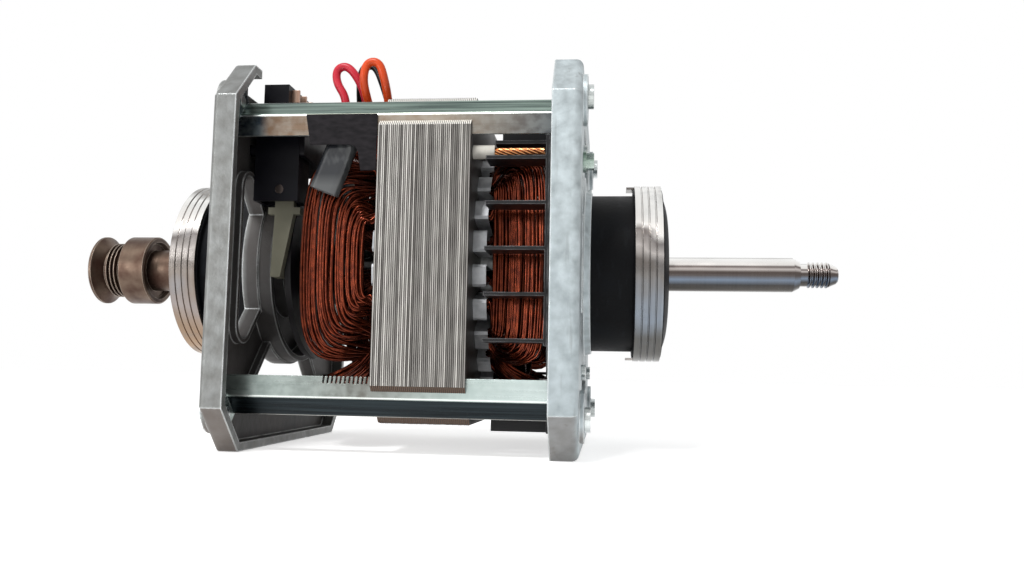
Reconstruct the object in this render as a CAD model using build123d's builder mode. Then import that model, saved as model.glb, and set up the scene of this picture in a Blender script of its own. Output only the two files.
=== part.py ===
from build123d import *
import math
import os

# Dryer drive motor, millimetres. +X runs along the shaft towards the threaded blower end, +Z is up.
# The origin is on the shaft's axis, in the middle of the blower-end ring band.

# Shaft
shaft_r = 6.35
shoulder_r = 8.0
plain_reach = 53.55
chamfer_length, chamfer_r = 2.4, 5.1
neck_length, neck_r = 2.7, 4.2
thread_length, thread_r, thread_depth, thread_turns = 7.9, 4.76, 0.75, 5
tip_length, tip_r = 3.2, 3.3
relief_width, relief_r, relief_inset = 1.2, 5.9, 0.05

# Ring mounts: a steel band on a rubber cushion at each end
pulley_ring_overhang = 24.1
band_r, band_width, band_wall = 32.9, 9.6, 1.2
band_groove, band_groove_depth, band_groove_count = 0.6, 0.4, 3
tab_width, tab_reach, band_tab_wall = 7.0, 2.8, 0.84
cushion_r, cushion_face_r = 29.3, 20.0
cushion_nose, cushion_wall = 7.35, 3.0
dome_inset, dome_drop = 0.6, 4.3
band_seat_gap, hub_gap = 0.4, 0.15
shaft_window_r = 8.9

# Square die-cast end brackets
bracket_half, corner_cut, rim_wall = 65.7, 14.7, 3.0
blower_face = -22.75
frame_length = 120.4
blower_rim, blower_web, blower_round = 9.5, 3.5, 2.4
pulley_rim, pulley_web, pulley_round = 7.9, 3.0, 1.8
hub_r, hub_disc_r, hub_step = 19.5, 31.0, 2.5
hub_end_wall, hub_short = 3.4, 0.4
boss_r, boss_reach = 16.5, 5.0
drum_r, drum_wall, drum_reach, drum_foot = 35.0, 2.0, 7.2, 0.8
window_hub_r, window_limit, window_round = 36.2, 50.0, 5.0
window_margin_upright, window_margin_side = 9.4, 15.0
lip_width, lip_height = 1.8, 2.6
switch_notch_front, switch_notch_back, switch_notch_low = -45.0, -6.0, 57.0

# Laminated stator and its slots
stack_gap, stack_length = 33.0, 31.1
stack_half, stack_cut = 55.4, 12.4
bore_r = 28.0
slot_count = 24
slot_outer_r, tooth_width, slot_mouth, tooth_tip = 45.5, 4.0, 2.4, 1.6
slot_corner, tooth_shoulder = 0.9, 0.6
liner_wall, liner_gap = 0.3, 0.15
liner_cuff_left, liner_cuff_right = 3.4, 4.6

# Channel rails in the corners
rail_face, rail_leg, rail_bend, rail_wall = 53.4, 40.2, 47.5, 1.2
rail_gap = 0.15
rail_bend_r = 2.0
tab_out, tab_half, tab_thick = 8.0, 5.0, 1.2
tooth_count, tooth_pitch, tooth_cut, tooth_depth = 11, 1.45, 0.65, 2.4
tooth_start, tooth_lean = 0.9, 0.4

# Fasteners
corner_screw_at, corner_screw_tip = 52.4, 0.4
screw_r, screw_head_r, screw_head, screw_clear = 2.0, 4.0, 1.9, 0.25
screw_cross, screw_cross_wall, screw_cross_depth = 4.6, 0.8, 1.0
pad_at, pad_r, pad_height = 51.5, 8.4, 1.6
ground_at, ground_washer_r, ground_washer = (-43.0, 33.0), 3.6, 1.0
ground_head_r, ground_head, ground_tip = 3.0, 2.6, 2.0
small_screw_r, small_head_r, small_head = 1.3, 2.6, 1.4
small_core_r, small_pilot_r = 1.05, 1.1
guard_screw_short, switch_screw_short = 1.0, 0.6

# Bearings
bearing_r, bearing_end_r, bearing_length = 12.5, 10.6, 18.0
pocket_clear, running_gap = 0.3, 0.05
bearing_inset = 12.0
retainer_wall, retainer_gap, retainer_clear = 1.3, 0.2, 1.2
felt_wall, felt_clear, felt_gap = 2.8, 0.6, 0.2
washer_wall, washer_r = 1.2, 10.5
washer_gap, shoulder_gap = 0.3, 0.05

# Poly-V pulley
pulley_reach = 48.0
pulley_r, groove_count, groove_pitch, groove_depth, groove_top_r = 13.3, 4, 1.6, 1.75, 10.7
pulley_rim_wall, pulley_cone, pulley_lift = 1.3, 3.4, 1.5
pulley_collar_length, collar_recess, pulley_neck_r, pulley_neck_inset = 10.3, 1.6, 8.1, 11.75
shaft_short = 1.5

# Rotor
air_gap = 0.3
end_ring_r, end_ring_bore, end_ring_wall = 26.4, 14.0, 6.0
rotor_blade_count, rotor_blade_wall = 10, 2.0
rotor_blade_reach_pulley_end, rotor_blade_reach_blower_end = 5.4, 10.0

# Windings: each pole coil is one tube, wound outwards from its inner slots
main_wire, main_loops = 1.4, 6
start_wire = 1.1
end_turn_face = 43.5
end_turn_face_blower = 43.0
main_slot_r, main_slot_step = 36.0, 3.3
main_first_z, main_step_z = 13.0, 4.2
main_left_reach, main_left_step = 7.9, 4.0
main_right_reach, main_right_step = 8.3, 3.0
start_face = 32.5
start_left_reach, start_right_reach, start_reach_step = 4.8, 6.6, 2.6
slot_exit_left, slot_exit_right, end_inside = 2.4, 3.6, 4.0
wound_gap = 0.4
bend_wires, bend_share, bend_left, bend_right = 0.7, 0.65, 2.0, 1.4
start_slots_at = ((1.5, 33.9), (1.5, 31.7), (2.5, 36.4), (2.5, 34.0))
start_turns = (11.4, 14.2, 21.0, 23.8)

# Winding guard on the blower-end bracket
guard_half, guard_inner_r, guard_plate = 58.0, 48.0, 1.0
guard_back, post_gap = 6.0, 0.1
fin_first, fin_pitch, fin_count, fin_wall, fin_depth = -27.8, 14.75, 5, 1.2, 10.5
fin_reach = 19.4
corner_fin_from, corner_fin_to, corner_fin_short = 42.5, 50.6, 2.0
corner_notch, corner_inset = 39.2, 0.6
guard_post, guard_post_at = 6.0, 37.5
comb_wall, comb_gap, comb_inset = 1.0, 0.05, 1.0
comb_peg_r, comb_peg_out, comb_peg_tip, comb_pegs = 1.5, 53.0, 0.4, (-20.4, 24.0)

# Insulation sheet, and the thermal protector in its sleeve, placed from the stack's pulley-end face
sheet_wall, sheet_gap, sheet_reach, sheet_tail_reach, sheet_stack_gap = 0.4, 0.3, 25.2, 7.4, 0.7
sheet_top, sheet_low, sheet_tail, sheet_round = 47.2, 36.8, 28.0, 3.5
sleeve_width, sleeve_depth, sleeve_length, sleeve_wall, sleeve_tilt = 10.4, 5.6, 18.4, 0.6, 20.6
sleeve_reach, sleeve_y, sleeve_z = 16.5, -48.8, 30.4
protector_width, protector_depth, protector_length = 8.4, 3.6, 14.0

# Leads
lead_r = 1.5
lead_seat = 0.3
crossover_z, crossover_y = 34.8, -50.0
crossover_sleeve_r, crossover_sleeve_length, crossover_wire_r = 2.3, 7.3, 1.6
crossover_gap, crossover_inside, crossover_short = 0.2, 1.0, 1.0

# Start switch, on feet that stand on the pulley-end bracket's web
switch_gap, switch_foot, switch_depth, switch_wall = 0.3, 2.9, 15.8, 1.6
switch_front, switch_back, nose_back = -43.0, -6.0, -32.2
switch_low, switch_floor, switch_high = 20.0, 35.8, 51.0
switch_posts = ((-39.8, 38.5), (-36.0, 27.5))
switch_post_r, cover_wall, cover_round, fit_gap = 2.2, 1.7, 1.2, 0.1
block_from_foot, block_width, block_high, block_front, block_back = 0.8, 9.0, 62.6, -39.3, -10.0
blade_thick, blade_low, blade_high, blade_out, blade_in, blade_gap = 0.8, 57.0, 61.5, 2.7, 3.0, 0.02
blade_count, blade_first, blade_pitch = 4, -35.5, 7.2
lever_y, lever_thick, lever_pivot_z, lever_pivot_from_web = -36.0, 3.0, 24.0, 12.1
lever_tip_z, lever_tip_width, lever_stem_half = -6.0, 3.5, 3.4
lever_ear_low, lever_ear_high, lever_ear_half = 16.2, 18.6, 5.8
lever_top, lever_boss_r, lever_nose_height, lever_nose_reach = 31.0, 4.0, 3.5, 4.5
lever_shoulder, lever_neck_half, lever_top_half, lever_rest_gap = 3.4, 2.0, 1.6, 0.3
lever_pin_r, pin_gap, pin_seat_gap, pin_reach = 1.5, 0.05, 0.02, 0.2
leaf_wall, leaf_width, leaf_high, leaf_inset, leaf_foot, leaf_foot_high = 0.4, 5.0, 10.0, 2.0, 4.0, 2.5
contact_across, contact_high, contact_r, contact_wall = 8.0, 10.0, 1.8, 2.0

# Centrifugal governor on the shaft
collar_disc_r, collar_disc_wall, collar_hub_r, collar_from_web = 34.0, 2.2, 9.8, 11.8
governor_collar_length, groove_width, flange_wall, flange_r = 16.5, 4.4, 1.6, 13.0
governor_travel, governor_rest_gap = 3.5, 0.7
base_wall, base_r, base_hub_r, base_hub_reach = 1.6, 20.5, 11.0, 3.5
ear_wall, ear_root, ear_end_gap = 1.4, 14.0, 2.2
weight_pivot_r, weight_finger_r, finger_wall, finger_half = 22.0, 10.6, 2.0, 6.0
weight_half, weight_boss_r, weight_low, weight_high = 8.0, 2.1, 21.2, 26.5
weight_start, weight_end = 2.0, 12.4
governor_pin_r, governor_pin_reach, ear_gap = 1.2, 0.5, 0.4
spring_r, spring_y, spring_post_r, spring_post_at, spring_seat = 1.6, 13.2, 1.0, 22.6, 0.3

# Places that follow from the sizes above
pulley_face = blower_face - frame_length
blower_inner = blower_face - blower_web
pulley_inner = pulley_face + pulley_web
pulley_ring = pulley_face - pulley_ring_overhang
pulley_end = pulley_ring - pulley_reach
pulley_neck_end = pulley_ring - pulley_neck_inset
stack_right = blower_inner - stack_gap
stack_left = stack_right - stack_length
bevel_sum = rail_face + rail_bend
rotor_r = bore_r - air_gap
pocket_r = bearing_r + pocket_clear
bracket_flat = bracket_half - corner_cut
stack_flat = stack_half - stack_cut


def write(piece, label):
    piece.part.label = label
    export_step(piece.part, f"parts/{label}.step")


def half_section(start, outward, *points):
    # Half of a turned shape, from points of (distance outward from start, radius)
    with BuildSketch(Plane.XZ) as half:
        with BuildLine():
            Polyline(*[(start + outward * u, r) for u, r in points], close=True)
        make_face()
    return half.sketch


def flat_outline(x, *points):
    # A flat outline across the shaft at x, from points of (y, z)
    with BuildSketch(Plane.YZ.offset(x)) as flat:
        with BuildLine():
            Polyline(*points, close=True)
        make_face()
    return flat.sketch


def cut_square(x, half, flat):
    # A square with its four corners cut at 45 degrees
    corners = [(half, flat), (flat, half), (-flat, half), (-half, flat)]
    corners += [(-y, -z) for y, z in corners]
    return flat_outline(x, *corners)


def four_corners(at):
    return [(at, at), (-at, at), (-at, -at), (at, -at)]


def window(x, margin, grow=0.0):
    # The gap between two diagonal spokes, on the +Y side, outside the hub
    tip = margin - grow * math.sqrt(2)
    limit = window_limit + grow
    with BuildSketch(Plane.YZ.offset(x)) as gap:
        with BuildLine():
            Polyline((tip, 0), (limit, limit - tip), (limit, tip - limit), close=True)
        make_face()
        fillet(gap.vertices().group_by(Axis.X)[-1], window_round + grow)
        Circle(window_hub_r - grow, mode=Mode.SUBTRACT)
    return gap.sketch


def end_bracket(outward, inner, web, rim, edge_round, mid):
    # Square pan with four spokes, four windows, and a hub tube that carries the bearing and cushion
    face = inner + outward * web
    nearer = inner - outward * (rim - web)
    last = -1 if outward > 0 else 0
    with BuildPart() as bracket:
        extrude(cut_square(face, bracket_half, bracket_flat), amount=-outward * rim)
        fillet(bracket.faces().sort_by(Axis.X)[last].edges(), edge_round)
        inner_half = bracket_half - rim_wall
        inner_flat = bracket_flat - rim_wall * math.tan(math.pi / 8)
        extrude(cut_square(nearer, inner_half, inner_flat), amount=outward * (rim - web), mode=Mode.SUBTRACT)
        for quarter in range(4):
            margin = window_margin_upright if quarter % 2 else window_margin_side
            lip = window(inner, margin, lip_width).rotate(Axis.X, 90 * quarter)
            extrude(lip, amount=-outward * lip_height)
            gap = window(nearer, margin).rotate(Axis.X, 90 * quarter)
            extrude(gap, amount=outward * (rim + 1), mode=Mode.SUBTRACT)
        hub_end = abs(mid - inner) + cushion_nose - cushion_wall - hub_short
        revolve(half_section(inner, outward,
                (-boss_reach, 0), (-boss_reach, boss_r), (0, boss_r + 1.5), (0, window_hub_r),
                (web, window_hub_r), (web, hub_disc_r), (web + hub_step, hub_disc_r - 0.6),
                (web + hub_step, hub_r), (hub_end, hub_r), (hub_end, 0)), axis=Axis.X)
        pocket_end = hub_end - hub_end_wall
        revolve(half_section(inner, outward,
                (-boss_reach - 1, 0), (-boss_reach - 1, pocket_r), (pocket_end, pocket_r),
                (pocket_end, shaft_r + 1), (hub_end + 1, shaft_r + 1), (hub_end + 1, 0)),
                axis=Axis.X, mode=Mode.SUBTRACT)
        with BuildSketch(Plane.YZ.offset(face)):
            with Locations(*four_corners(pad_at)):
                Circle(pad_r)
        extrude(amount=outward * pad_height)
        with BuildSketch(Plane.YZ.offset(face + outward * (pad_height + 1))):
            with Locations(*four_corners(corner_screw_at)):
                Circle(screw_r + screw_clear)
        extrude(amount=-outward * (pad_height + rim + 2), mode=Mode.SUBTRACT)
    return bracket


os.makedirs("parts", exist_ok=True)

# Pulley-end bracket: a drum wall round the governor's disc, holes for the switch's screws, and a
# notch in the top edge over the switch's block
with BuildPart() as pulley_end_bracket:
    add(end_bracket(-1, pulley_inner, pulley_web, pulley_rim, pulley_round, pulley_ring).part)
    revolve(half_section(pulley_inner, 1, (-1, drum_r - drum_wall - drum_foot), (-1, drum_r + drum_foot),
            (drum_reach, drum_r), (drum_reach, drum_r - drum_wall)), axis=Axis.X)
    with BuildSketch(Plane.XY.offset(switch_notch_low)):
        with Locations((pulley_face, (switch_notch_front + switch_notch_back) / 2)):
            Rectangle(2 * pulley_rim + 2, switch_notch_back - switch_notch_front)
    extrude(amount=bracket_half, mode=Mode.SUBTRACT)
    with BuildSketch(Plane.YZ.offset(pulley_inner + 1)):
        with Locations(*switch_posts):
            Circle(small_screw_r + screw_clear)
    extrude(amount=-pulley_web - 2, mode=Mode.SUBTRACT)
write(pulley_end_bracket, "pulley_end_bracket")

# Blower-end bracket, with holes for the guard's screws and the ground screw
with BuildPart() as blower_end_bracket:
    add(end_bracket(1, blower_inner, blower_web, blower_rim, blower_round, 0.0).part)
    with BuildSketch(Plane.YZ.offset(blower_inner - 1)):
        with Locations(*four_corners(guard_post_at)):
            Circle(small_screw_r + screw_clear)
        with Locations(ground_at):
            Circle(screw_r + screw_clear)
    extrude(amount=blower_web + 2, mode=Mode.SUBTRACT)
write(blower_end_bracket, "blower_end_bracket")


def rail_section(x, grow=0.0):
    # The channel's section in the +Y +Z corner: two legs and a bevel between them
    slope = math.tan(math.pi / 8)
    out = rail_face + grow
    inn = rail_face - rail_wall - grow
    bend_out = rail_bend + grow * slope
    bend_in = rail_bend - (rail_wall + grow) * slope
    leg = rail_leg - grow
    with BuildSketch(Plane.YZ.offset(x)) as section:
        with BuildLine():
            FilletPolyline((out, leg), (out, bend_out), (bend_out, out), (leg, out),
                           radius=rail_bend_r + grow)
            FilletPolyline((inn, leg), (inn, bend_in), (bend_in, inn), (leg, inn),
                           radius=rail_bend_r - rail_wall - grow)
            Line((out, leg), (inn, leg))
            Line((leg, out), (leg, inn))
        make_face()
    return section.sketch


rail_left = pulley_inner + rail_gap
rail_right = blower_inner - rail_gap


def rail(quarter, serrated=False):
    # One rail, turned about the shaft to its corner, with a drilled tab bent out at each end
    tab_r = bevel_sum / math.sqrt(2) + tab_out / 2 - rail_wall / 2
    tab_at = tab_r / math.sqrt(2)
    with BuildPart() as channel:
        extrude(rail_section(rail_left), amount=rail_right - rail_left)
        for end, inward in ((rail_left, 1), (rail_right, -1)):
            with BuildSketch(Plane.YZ.offset(end)):
                with Locations((tab_at, tab_at)):
                    Rectangle(tab_out, 2 * tab_half, rotation=45)
                with Locations((corner_screw_at, corner_screw_at)):
                    Circle(screw_r + fit_gap, mode=Mode.SUBTRACT)
            extrude(amount=inward * tab_thick)
        if serrated:
            first = stack_left - tooth_start
            for tooth in range(tooth_count):
                x = first - tooth * tooth_pitch
                with BuildSketch(Plane.XZ.offset(-rail_face - 1)):
                    with BuildLine():
                        Polyline((x, rail_leg - 1), (x - tooth_cut, rail_leg - 1),
                                 (x - tooth_cut - tooth_lean, rail_leg + tooth_depth),
                                 (x - tooth_lean, rail_leg + tooth_depth), close=True)
                    make_face()
                extrude(amount=rail_wall + 2, mode=Mode.SUBTRACT)
    with BuildPart() as turned:
        add(channel.part.rotate(Axis.X, 90 * quarter))
    return turned


write(rail(0), "rail_top_rear")
write(rail(1), "rail_top_front")
write(rail(2, serrated=True), "rail_bottom_front")
write(rail(3), "rail_bottom_rear")


def slot_edge(r):
    # Half the slot's width at r, between teeth with parallel sides
    half_pitch = math.pi / slot_count
    return r * math.tan(half_pitch) - tooth_width / 2 / math.cos(half_pitch)


def slot_outline(inset=0.0, mouth=True):
    # One slot, drawn along the sketch's own X axis; its mouth opens into the bore
    low = bore_r + tooth_tip + tooth_shoulder + inset
    high = slot_outer_r - slot_corner
    top = slot_outer_r - inset
    points = [(low, slot_edge(low) - inset), (high, slot_edge(high) - inset),
              (top, slot_edge(high) - slot_corner - inset)]
    if mouth:
        points = [(bore_r - 1, slot_mouth / 2), (bore_r + tooth_tip, slot_mouth / 2)] + points
    with BuildSketch() as slot:
        with BuildLine():
            Polyline(*points, *[(along, -across) for along, across in reversed(points)], close=True)
        make_face()
    return slot.sketch


slot_start = 180 / slot_count

# Stator core: one stack of punched sheets, with slots for the coils and grooves for the rails
with BuildPart() as stator_core:
    extrude(cut_square(stack_left, stack_half, stack_flat), amount=stack_length)
    with BuildSketch(Plane.YZ.offset(stack_left - 1)):
        Circle(bore_r)
        with PolarLocations(0, slot_count, start_angle=slot_start):
            add(slot_outline())
    extrude(amount=stack_length + 2, mode=Mode.SUBTRACT)
    for quarter in range(4):
        groove = rail_section(stack_left - 1, rail_gap).rotate(Axis.X, 90 * quarter)
        extrude(groove, amount=stack_length + 2, mode=Mode.SUBTRACT)
write(stator_core, "stator_core")

# Slot liners: a folded sheet in each slot, standing out of the stack as a cuff at both ends
with BuildPart() as slot_liners:
    with BuildSketch(Plane.YZ.offset(stack_left - liner_cuff_left)):
        with PolarLocations(0, slot_count, start_angle=slot_start):
            add(slot_outline(liner_gap, mouth=False))
        with PolarLocations(0, slot_count, start_angle=slot_start):
            add(slot_outline(liner_gap + liner_wall, mouth=False), mode=Mode.SUBTRACT)
    extrude(amount=liner_cuff_left + stack_length + liner_cuff_right)
write(slot_liners, "slot_liners")


def corner_radius(before, corner, after, wanted):
    # The wanted radius, or what the shorter of the two runs leaves room for
    into = Vector(*corner) - Vector(*before)
    out = Vector(*after) - Vector(*corner)
    half_turn = math.radians(into.get_angle(out)) / 2
    return min(wanted, 0.45 * min(into.length, out.length) / math.tan(half_turn))


def rounded_path(points, wanted):
    # Straight runs with an arc at each corner; also close points along the same line, in order
    radii = [corner_radius(*points[at:at + 3], wanted[at]) for at in range(len(points) - 2)]
    with BuildLine() as line:
        FilletPolyline(*points, radius=radii)
    steps = round(line.wire().length)
    return line.wire(), line.wire().positions([step / steps for step in range(steps + 1)]), radii


def least_gap(spots, wire):
    # Nearest that the tube comes to itself, past a stretch that belongs to one bend
    skip = round(2.5 * wire) + 2
    places = [tuple(spot) for spot in spots]
    nearest = min(math.dist(places[first], places[second])
                  for first in range(len(places)) for second in range(first + skip, len(places)))
    return nearest - wire


def tube(path, r, bore=0.0):
    with BuildPart() as swept:
        with BuildSketch(Plane(path @ 0, z_dir=path % 0)):
            Circle(r)
            if bore:
                Circle(bore, mode=Mode.SUBTRACT)
        sweep(path=path)
    return swept


def pole_coil(name, wire, slots, turns, turn_depth, left, right):
    # slots: (depth, z) of each loop in its slot. turns: z of its end turns at turn_depth from the axis.
    # left, right: how far each end turn stands off the stack
    points = [(stack_right - end_inside, -slots[0][0], slots[0][1])]
    radii = []
    for loop, (depth, z) in enumerate(slots):
        end = stack_left - left[loop]
        bend = bend_wires * wire + bend_share * (left[loop] - left[0]) + bend_left
        for side in (1, -1):
            corners = [(stack_left - slot_exit_left, -depth, side * z),
                       (end, -turn_depth[0], side * turns[loop])]
            points += corners if side > 0 else corners[::-1]
        radii += [wire, bend, bend, wire]
        if loop + 1 < len(slots):
            after_depth, after_z = slots[loop + 1]
            end = stack_right + right[loop]
            bend = bend_wires * wire + bend_share * (right[loop] - right[0]) + bend_right
            points += [(stack_right + slot_exit_right, -depth, -z), (end, -turn_depth[1], -turns[loop]),
                       (end, -turn_depth[1], turns[loop + 1]),
                       (stack_right + slot_exit_right, -after_depth, after_z)]
            radii += [wire, bend, bend, wire]
    points += [(stack_right - end_inside, -slots[-1][0], -slots[-1][1])]
    path, spots, used = rounded_path(points, radii)
    gap = round(least_gap(spots, wire), 2)
    print(name, "tube", round(path.length), "long, least gap", gap, "wanted over", wound_gap,
          "least radius", round(min(used), 2))
    return tube(path, wire / 2)


def in_slot(pitches, r):
    # Depth and height of a wire at r in the slot this many slot pitches from the pole's middle
    angle = math.radians(360 / slot_count * pitches)
    return r * math.cos(angle), r * math.sin(angle)


slot_loops = main_loops // 2
main_slots = [in_slot(1.5 if loop < slot_loops else 2.5,
                      main_slot_r + main_slot_step * (slot_loops - 1 - loop % slot_loops))
              for loop in range(main_loops)]
main_turns = [main_first_z + main_step_z * loop for loop in range(main_loops)]
main_left = [main_left_reach + main_left_step * loop for loop in range(main_loops)]
main_right = [main_right_reach + main_right_step * loop for loop in range(main_loops)]
main_coil = pole_coil("main coil", main_wire, main_slots, main_turns,
                      (end_turn_face, end_turn_face_blower), main_left, main_right)
for quarter, place in enumerate(("front", "bottom", "rear", "top")):
    with BuildPart() as main_coil_turned:
        add(main_coil.part.rotate(Axis.X, 90 * quarter))
    write(main_coil_turned, f"main_coil_{place}")

start_slots = [in_slot(*place) for place in start_slots_at]
start_left = [start_left_reach + start_reach_step * loop for loop in range(len(start_slots))]
start_right = [start_right_reach + start_reach_step * loop for loop in range(len(start_slots))]
start_coil = pole_coil("start coil", start_wire, start_slots, start_turns,
                       (start_face, start_face), start_left, start_right)
for quarter, place in enumerate(("bottom_front", "bottom_rear", "top_rear", "top_front")):
    with BuildPart() as start_coil_turned:
        add(start_coil.part.rotate(Axis.X, 45 + 90 * quarter))
    write(start_coil_turned, f"start_coil_{place}")

# Winding guard: a thin plate behind the end turns, on four posts
guard_right = blower_inner - guard_back
guard_left = guard_right - guard_plate
comb_right = guard_left - comb_gap
comb_left = comb_right - comb_wall
with BuildPart() as winding_guard:
    with BuildSketch(Plane.YZ.offset(guard_left)):
        Rectangle(2 * guard_half, 2 * guard_half)
        Circle(guard_inner_r, mode=Mode.SUBTRACT)
        side = guard_half - corner_notch
        with Locations(*four_corners(corner_notch + side / 2 + 0.5)):
            Rectangle(side + 1, side + 1, mode=Mode.SUBTRACT)
        for quarter in range(4):
            with Locations(*[Vector(-comb_peg_out, z).rotate(Axis.Z, 90 * quarter) for z in comb_pegs]):
                Circle(comb_peg_r + fit_gap, mode=Mode.SUBTRACT)
    extrude(amount=guard_plate)
    with BuildSketch(Plane.YZ.offset(guard_left)):
        with Locations(*four_corners(guard_post_at)):
            Rectangle(guard_post, guard_post, rotation=45)
            Circle(small_pilot_r, mode=Mode.SUBTRACT)
    extrude(amount=guard_plate + guard_back - post_gap)
write(winding_guard, "winding_guard")


def comb_fins():
    # The row of fins on the -Y side
    with BuildSketch(Plane.YZ.offset(comb_left)) as fins:
        for fin in range(fin_count):
            with Locations((-guard_half + fin_depth / 2, fin_first + fin * fin_pitch)):
                Rectangle(fin_depth, fin_wall)
    return fins.sketch


def comb():
    # The comb on the -Y side: a strip with its fins, a fin turned across the corner, and two pegs
    fin_low = fin_first - fin_wall / 2 - comb_inset
    fin_high = corner_notch - corner_inset
    corner = flat_outline(comb_left, (-corner_fin_from, fin_high), (-corner_fin_to, fin_high),
                          (-corner_fin_to, fin_high - fin_wall), (-corner_fin_from, fin_high - fin_wall))
    with BuildPart() as piece:
        with BuildSketch(Plane.YZ.offset(comb_left)):
            with Locations((-guard_half + fin_depth / 2, (fin_low + fin_high) / 2)):
                Rectangle(fin_depth, fin_high - fin_low)
        extrude(amount=comb_wall)
        extrude(comb_fins(), amount=-fin_reach)
        extrude(corner, amount=corner_fin_short - fin_reach)
        extrude(corner, amount=comb_wall)
        with BuildSketch(Plane.YZ.offset(comb_left)):
            with Locations(*[(-comb_peg_out, z) for z in comb_pegs]):
                Circle(comb_peg_r)
        extrude(amount=comb_wall + comb_gap + guard_plate + comb_peg_tip)
    return piece


# Guard combs: fins over the end turns on all four sides
with BuildPart() as guard_combs:
    for quarter in range(4):
        add(comb().part.rotate(Axis.X, 90 * quarter))
write(guard_combs, "guard_combs")

# Guard screws, driven through the bracket's web into the guard's posts
with BuildPart() as guard_screws:
    with BuildSketch(Plane.YZ.offset(blower_face)):
        with Locations(*four_corners(guard_post_at)):
            Circle(small_head_r)
    extrude(amount=small_head)
    with BuildSketch(Plane.YZ.offset(blower_face)):
        with Locations(*four_corners(guard_post_at)):
            Circle(small_core_r)
    extrude(amount=-blower_web - guard_back + guard_screw_short)
write(guard_screws, "guard_screws")


def corner_screws(face, outward, web):
    # Four pan-head screws through the bracket's corner pads into the rails' tabs
    seat = face + outward * pad_height
    with BuildPart() as screws:
        with BuildSketch(Plane.YZ.offset(seat)):
            with Locations(*four_corners(corner_screw_at)):
                Circle(screw_head_r)
        extrude(amount=outward * screw_head)
        with BuildSketch(Plane.YZ.offset(seat)):
            with Locations(*four_corners(corner_screw_at)):
                Circle(screw_r)
        extrude(amount=-outward * (pad_height + web + rail_gap + tab_thick + corner_screw_tip))
        with BuildSketch(Plane.YZ.offset(seat + outward * screw_head)):
            with Locations(*four_corners(corner_screw_at)):
                Rectangle(screw_cross, screw_cross_wall)
                Rectangle(screw_cross_wall, screw_cross)
        extrude(amount=-outward * screw_cross_depth, mode=Mode.SUBTRACT)
    return screws


write(corner_screws(blower_face, 1, blower_web), "blower_end_screws")
write(corner_screws(pulley_face, -1, pulley_web), "pulley_end_screws")

# Ground screw with its washer, on a spoke of the blower-end bracket
with BuildPart() as ground_screw:
    with BuildSketch(Plane.YZ.offset(blower_face)):
        with Locations(ground_at):
            Circle(ground_washer_r)
    extrude(amount=ground_washer)
    with BuildSketch(Plane.YZ.offset(blower_face + ground_washer)):
        with Locations(ground_at):
            RegularPolygon(ground_head_r, 6)
    extrude(amount=ground_head)
    with BuildSketch(Plane.YZ.offset(blower_face)):
        with Locations(ground_at):
            Circle(screw_r)
    extrude(amount=-blower_web - ground_tip)
write(ground_screw, "ground_screw")


def cushion(mid, outward, bracket_step):
    # Rubber ring over the hub tube, with a domed nose and a seat for the band
    start = bracket_step - outward * mid
    seat = band_width / 2 + band_seat_gap
    bore = hub_r + hub_gap
    waist = band_r - band_wall - hub_gap
    places = (start, -seat, seat, cushion_nose - dome_inset, cushion_nose, cushion_nose - cushion_wall)
    x = [mid + outward * place for place in places]
    with BuildPart() as ring:
        with BuildSketch(Plane.XZ):
            with BuildLine():
                Polyline((x[0], bore), (x[0], cushion_r), (x[1], cushion_r), (x[1], waist), (x[2], waist),
                         (x[2], cushion_r))
                ThreePointArc((x[2], cushion_r), (x[3], cushion_r - dome_drop), (x[4], cushion_face_r))
                Polyline((x[4], cushion_face_r), (x[4], shaft_window_r), (x[5], shaft_window_r), (x[5], bore),
                         (x[0], bore))
            make_face()
        revolve(axis=Axis.X)
    return ring


def ring_band(mid, outward):
    # Rolled steel band with shallow grooves, and a tab at top and bottom
    half = band_width / 2
    groove = band_groove / 2
    pitch = band_width / (band_groove_count + 1)
    profile = [(-half, band_r - band_wall), (-half, band_r)]
    for number in range(band_groove_count):
        at = (number + 1) * pitch - half
        profile += [(at - groove, band_r), (at - groove / 2, band_r - band_groove_depth),
                    (at + groove / 2, band_r - band_groove_depth), (at + groove, band_r)]
    profile += [(half, band_r), (half, band_r - band_wall)]
    with BuildPart() as band:
        revolve(half_section(mid, outward, *profile), axis=Axis.X)
        for up in (1, -1):
            with BuildSketch(Plane.XY.offset(up * (band_r - band_wall))):
                with Locations((mid - outward * (half + tab_reach / 2 - 0.5), 0)):
                    Rectangle(tab_reach + 1.0, tab_width)
            extrude(amount=up * band_tab_wall)
    return band


def sleeve_bearing(mid, outward):
    # Self-aligning sintered bronze bearing: straight bore, barrel outside
    centre = mid - outward * bearing_inset
    half = bearing_length / 2
    with BuildPart() as bearing:
        with BuildSketch(Plane.XZ):
            with BuildLine():
                ThreePointArc((centre - half, bearing_end_r), (centre, bearing_r),
                              (centre + half, bearing_end_r))
                Polyline((centre + half, bearing_end_r), (centre + half, shaft_r + running_gap),
                         (centre - half, shaft_r + running_gap), (centre - half, bearing_end_r))
            make_face()
        revolve(axis=Axis.X)
    return bearing


def flat_ring(start, outward, thick, inner, outer):
    with BuildPart() as ring:
        revolve(half_section(start, outward, (0, inner), (0, outer), (thick, outer), (thick, inner)),
                axis=Axis.X)
    return ring


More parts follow.
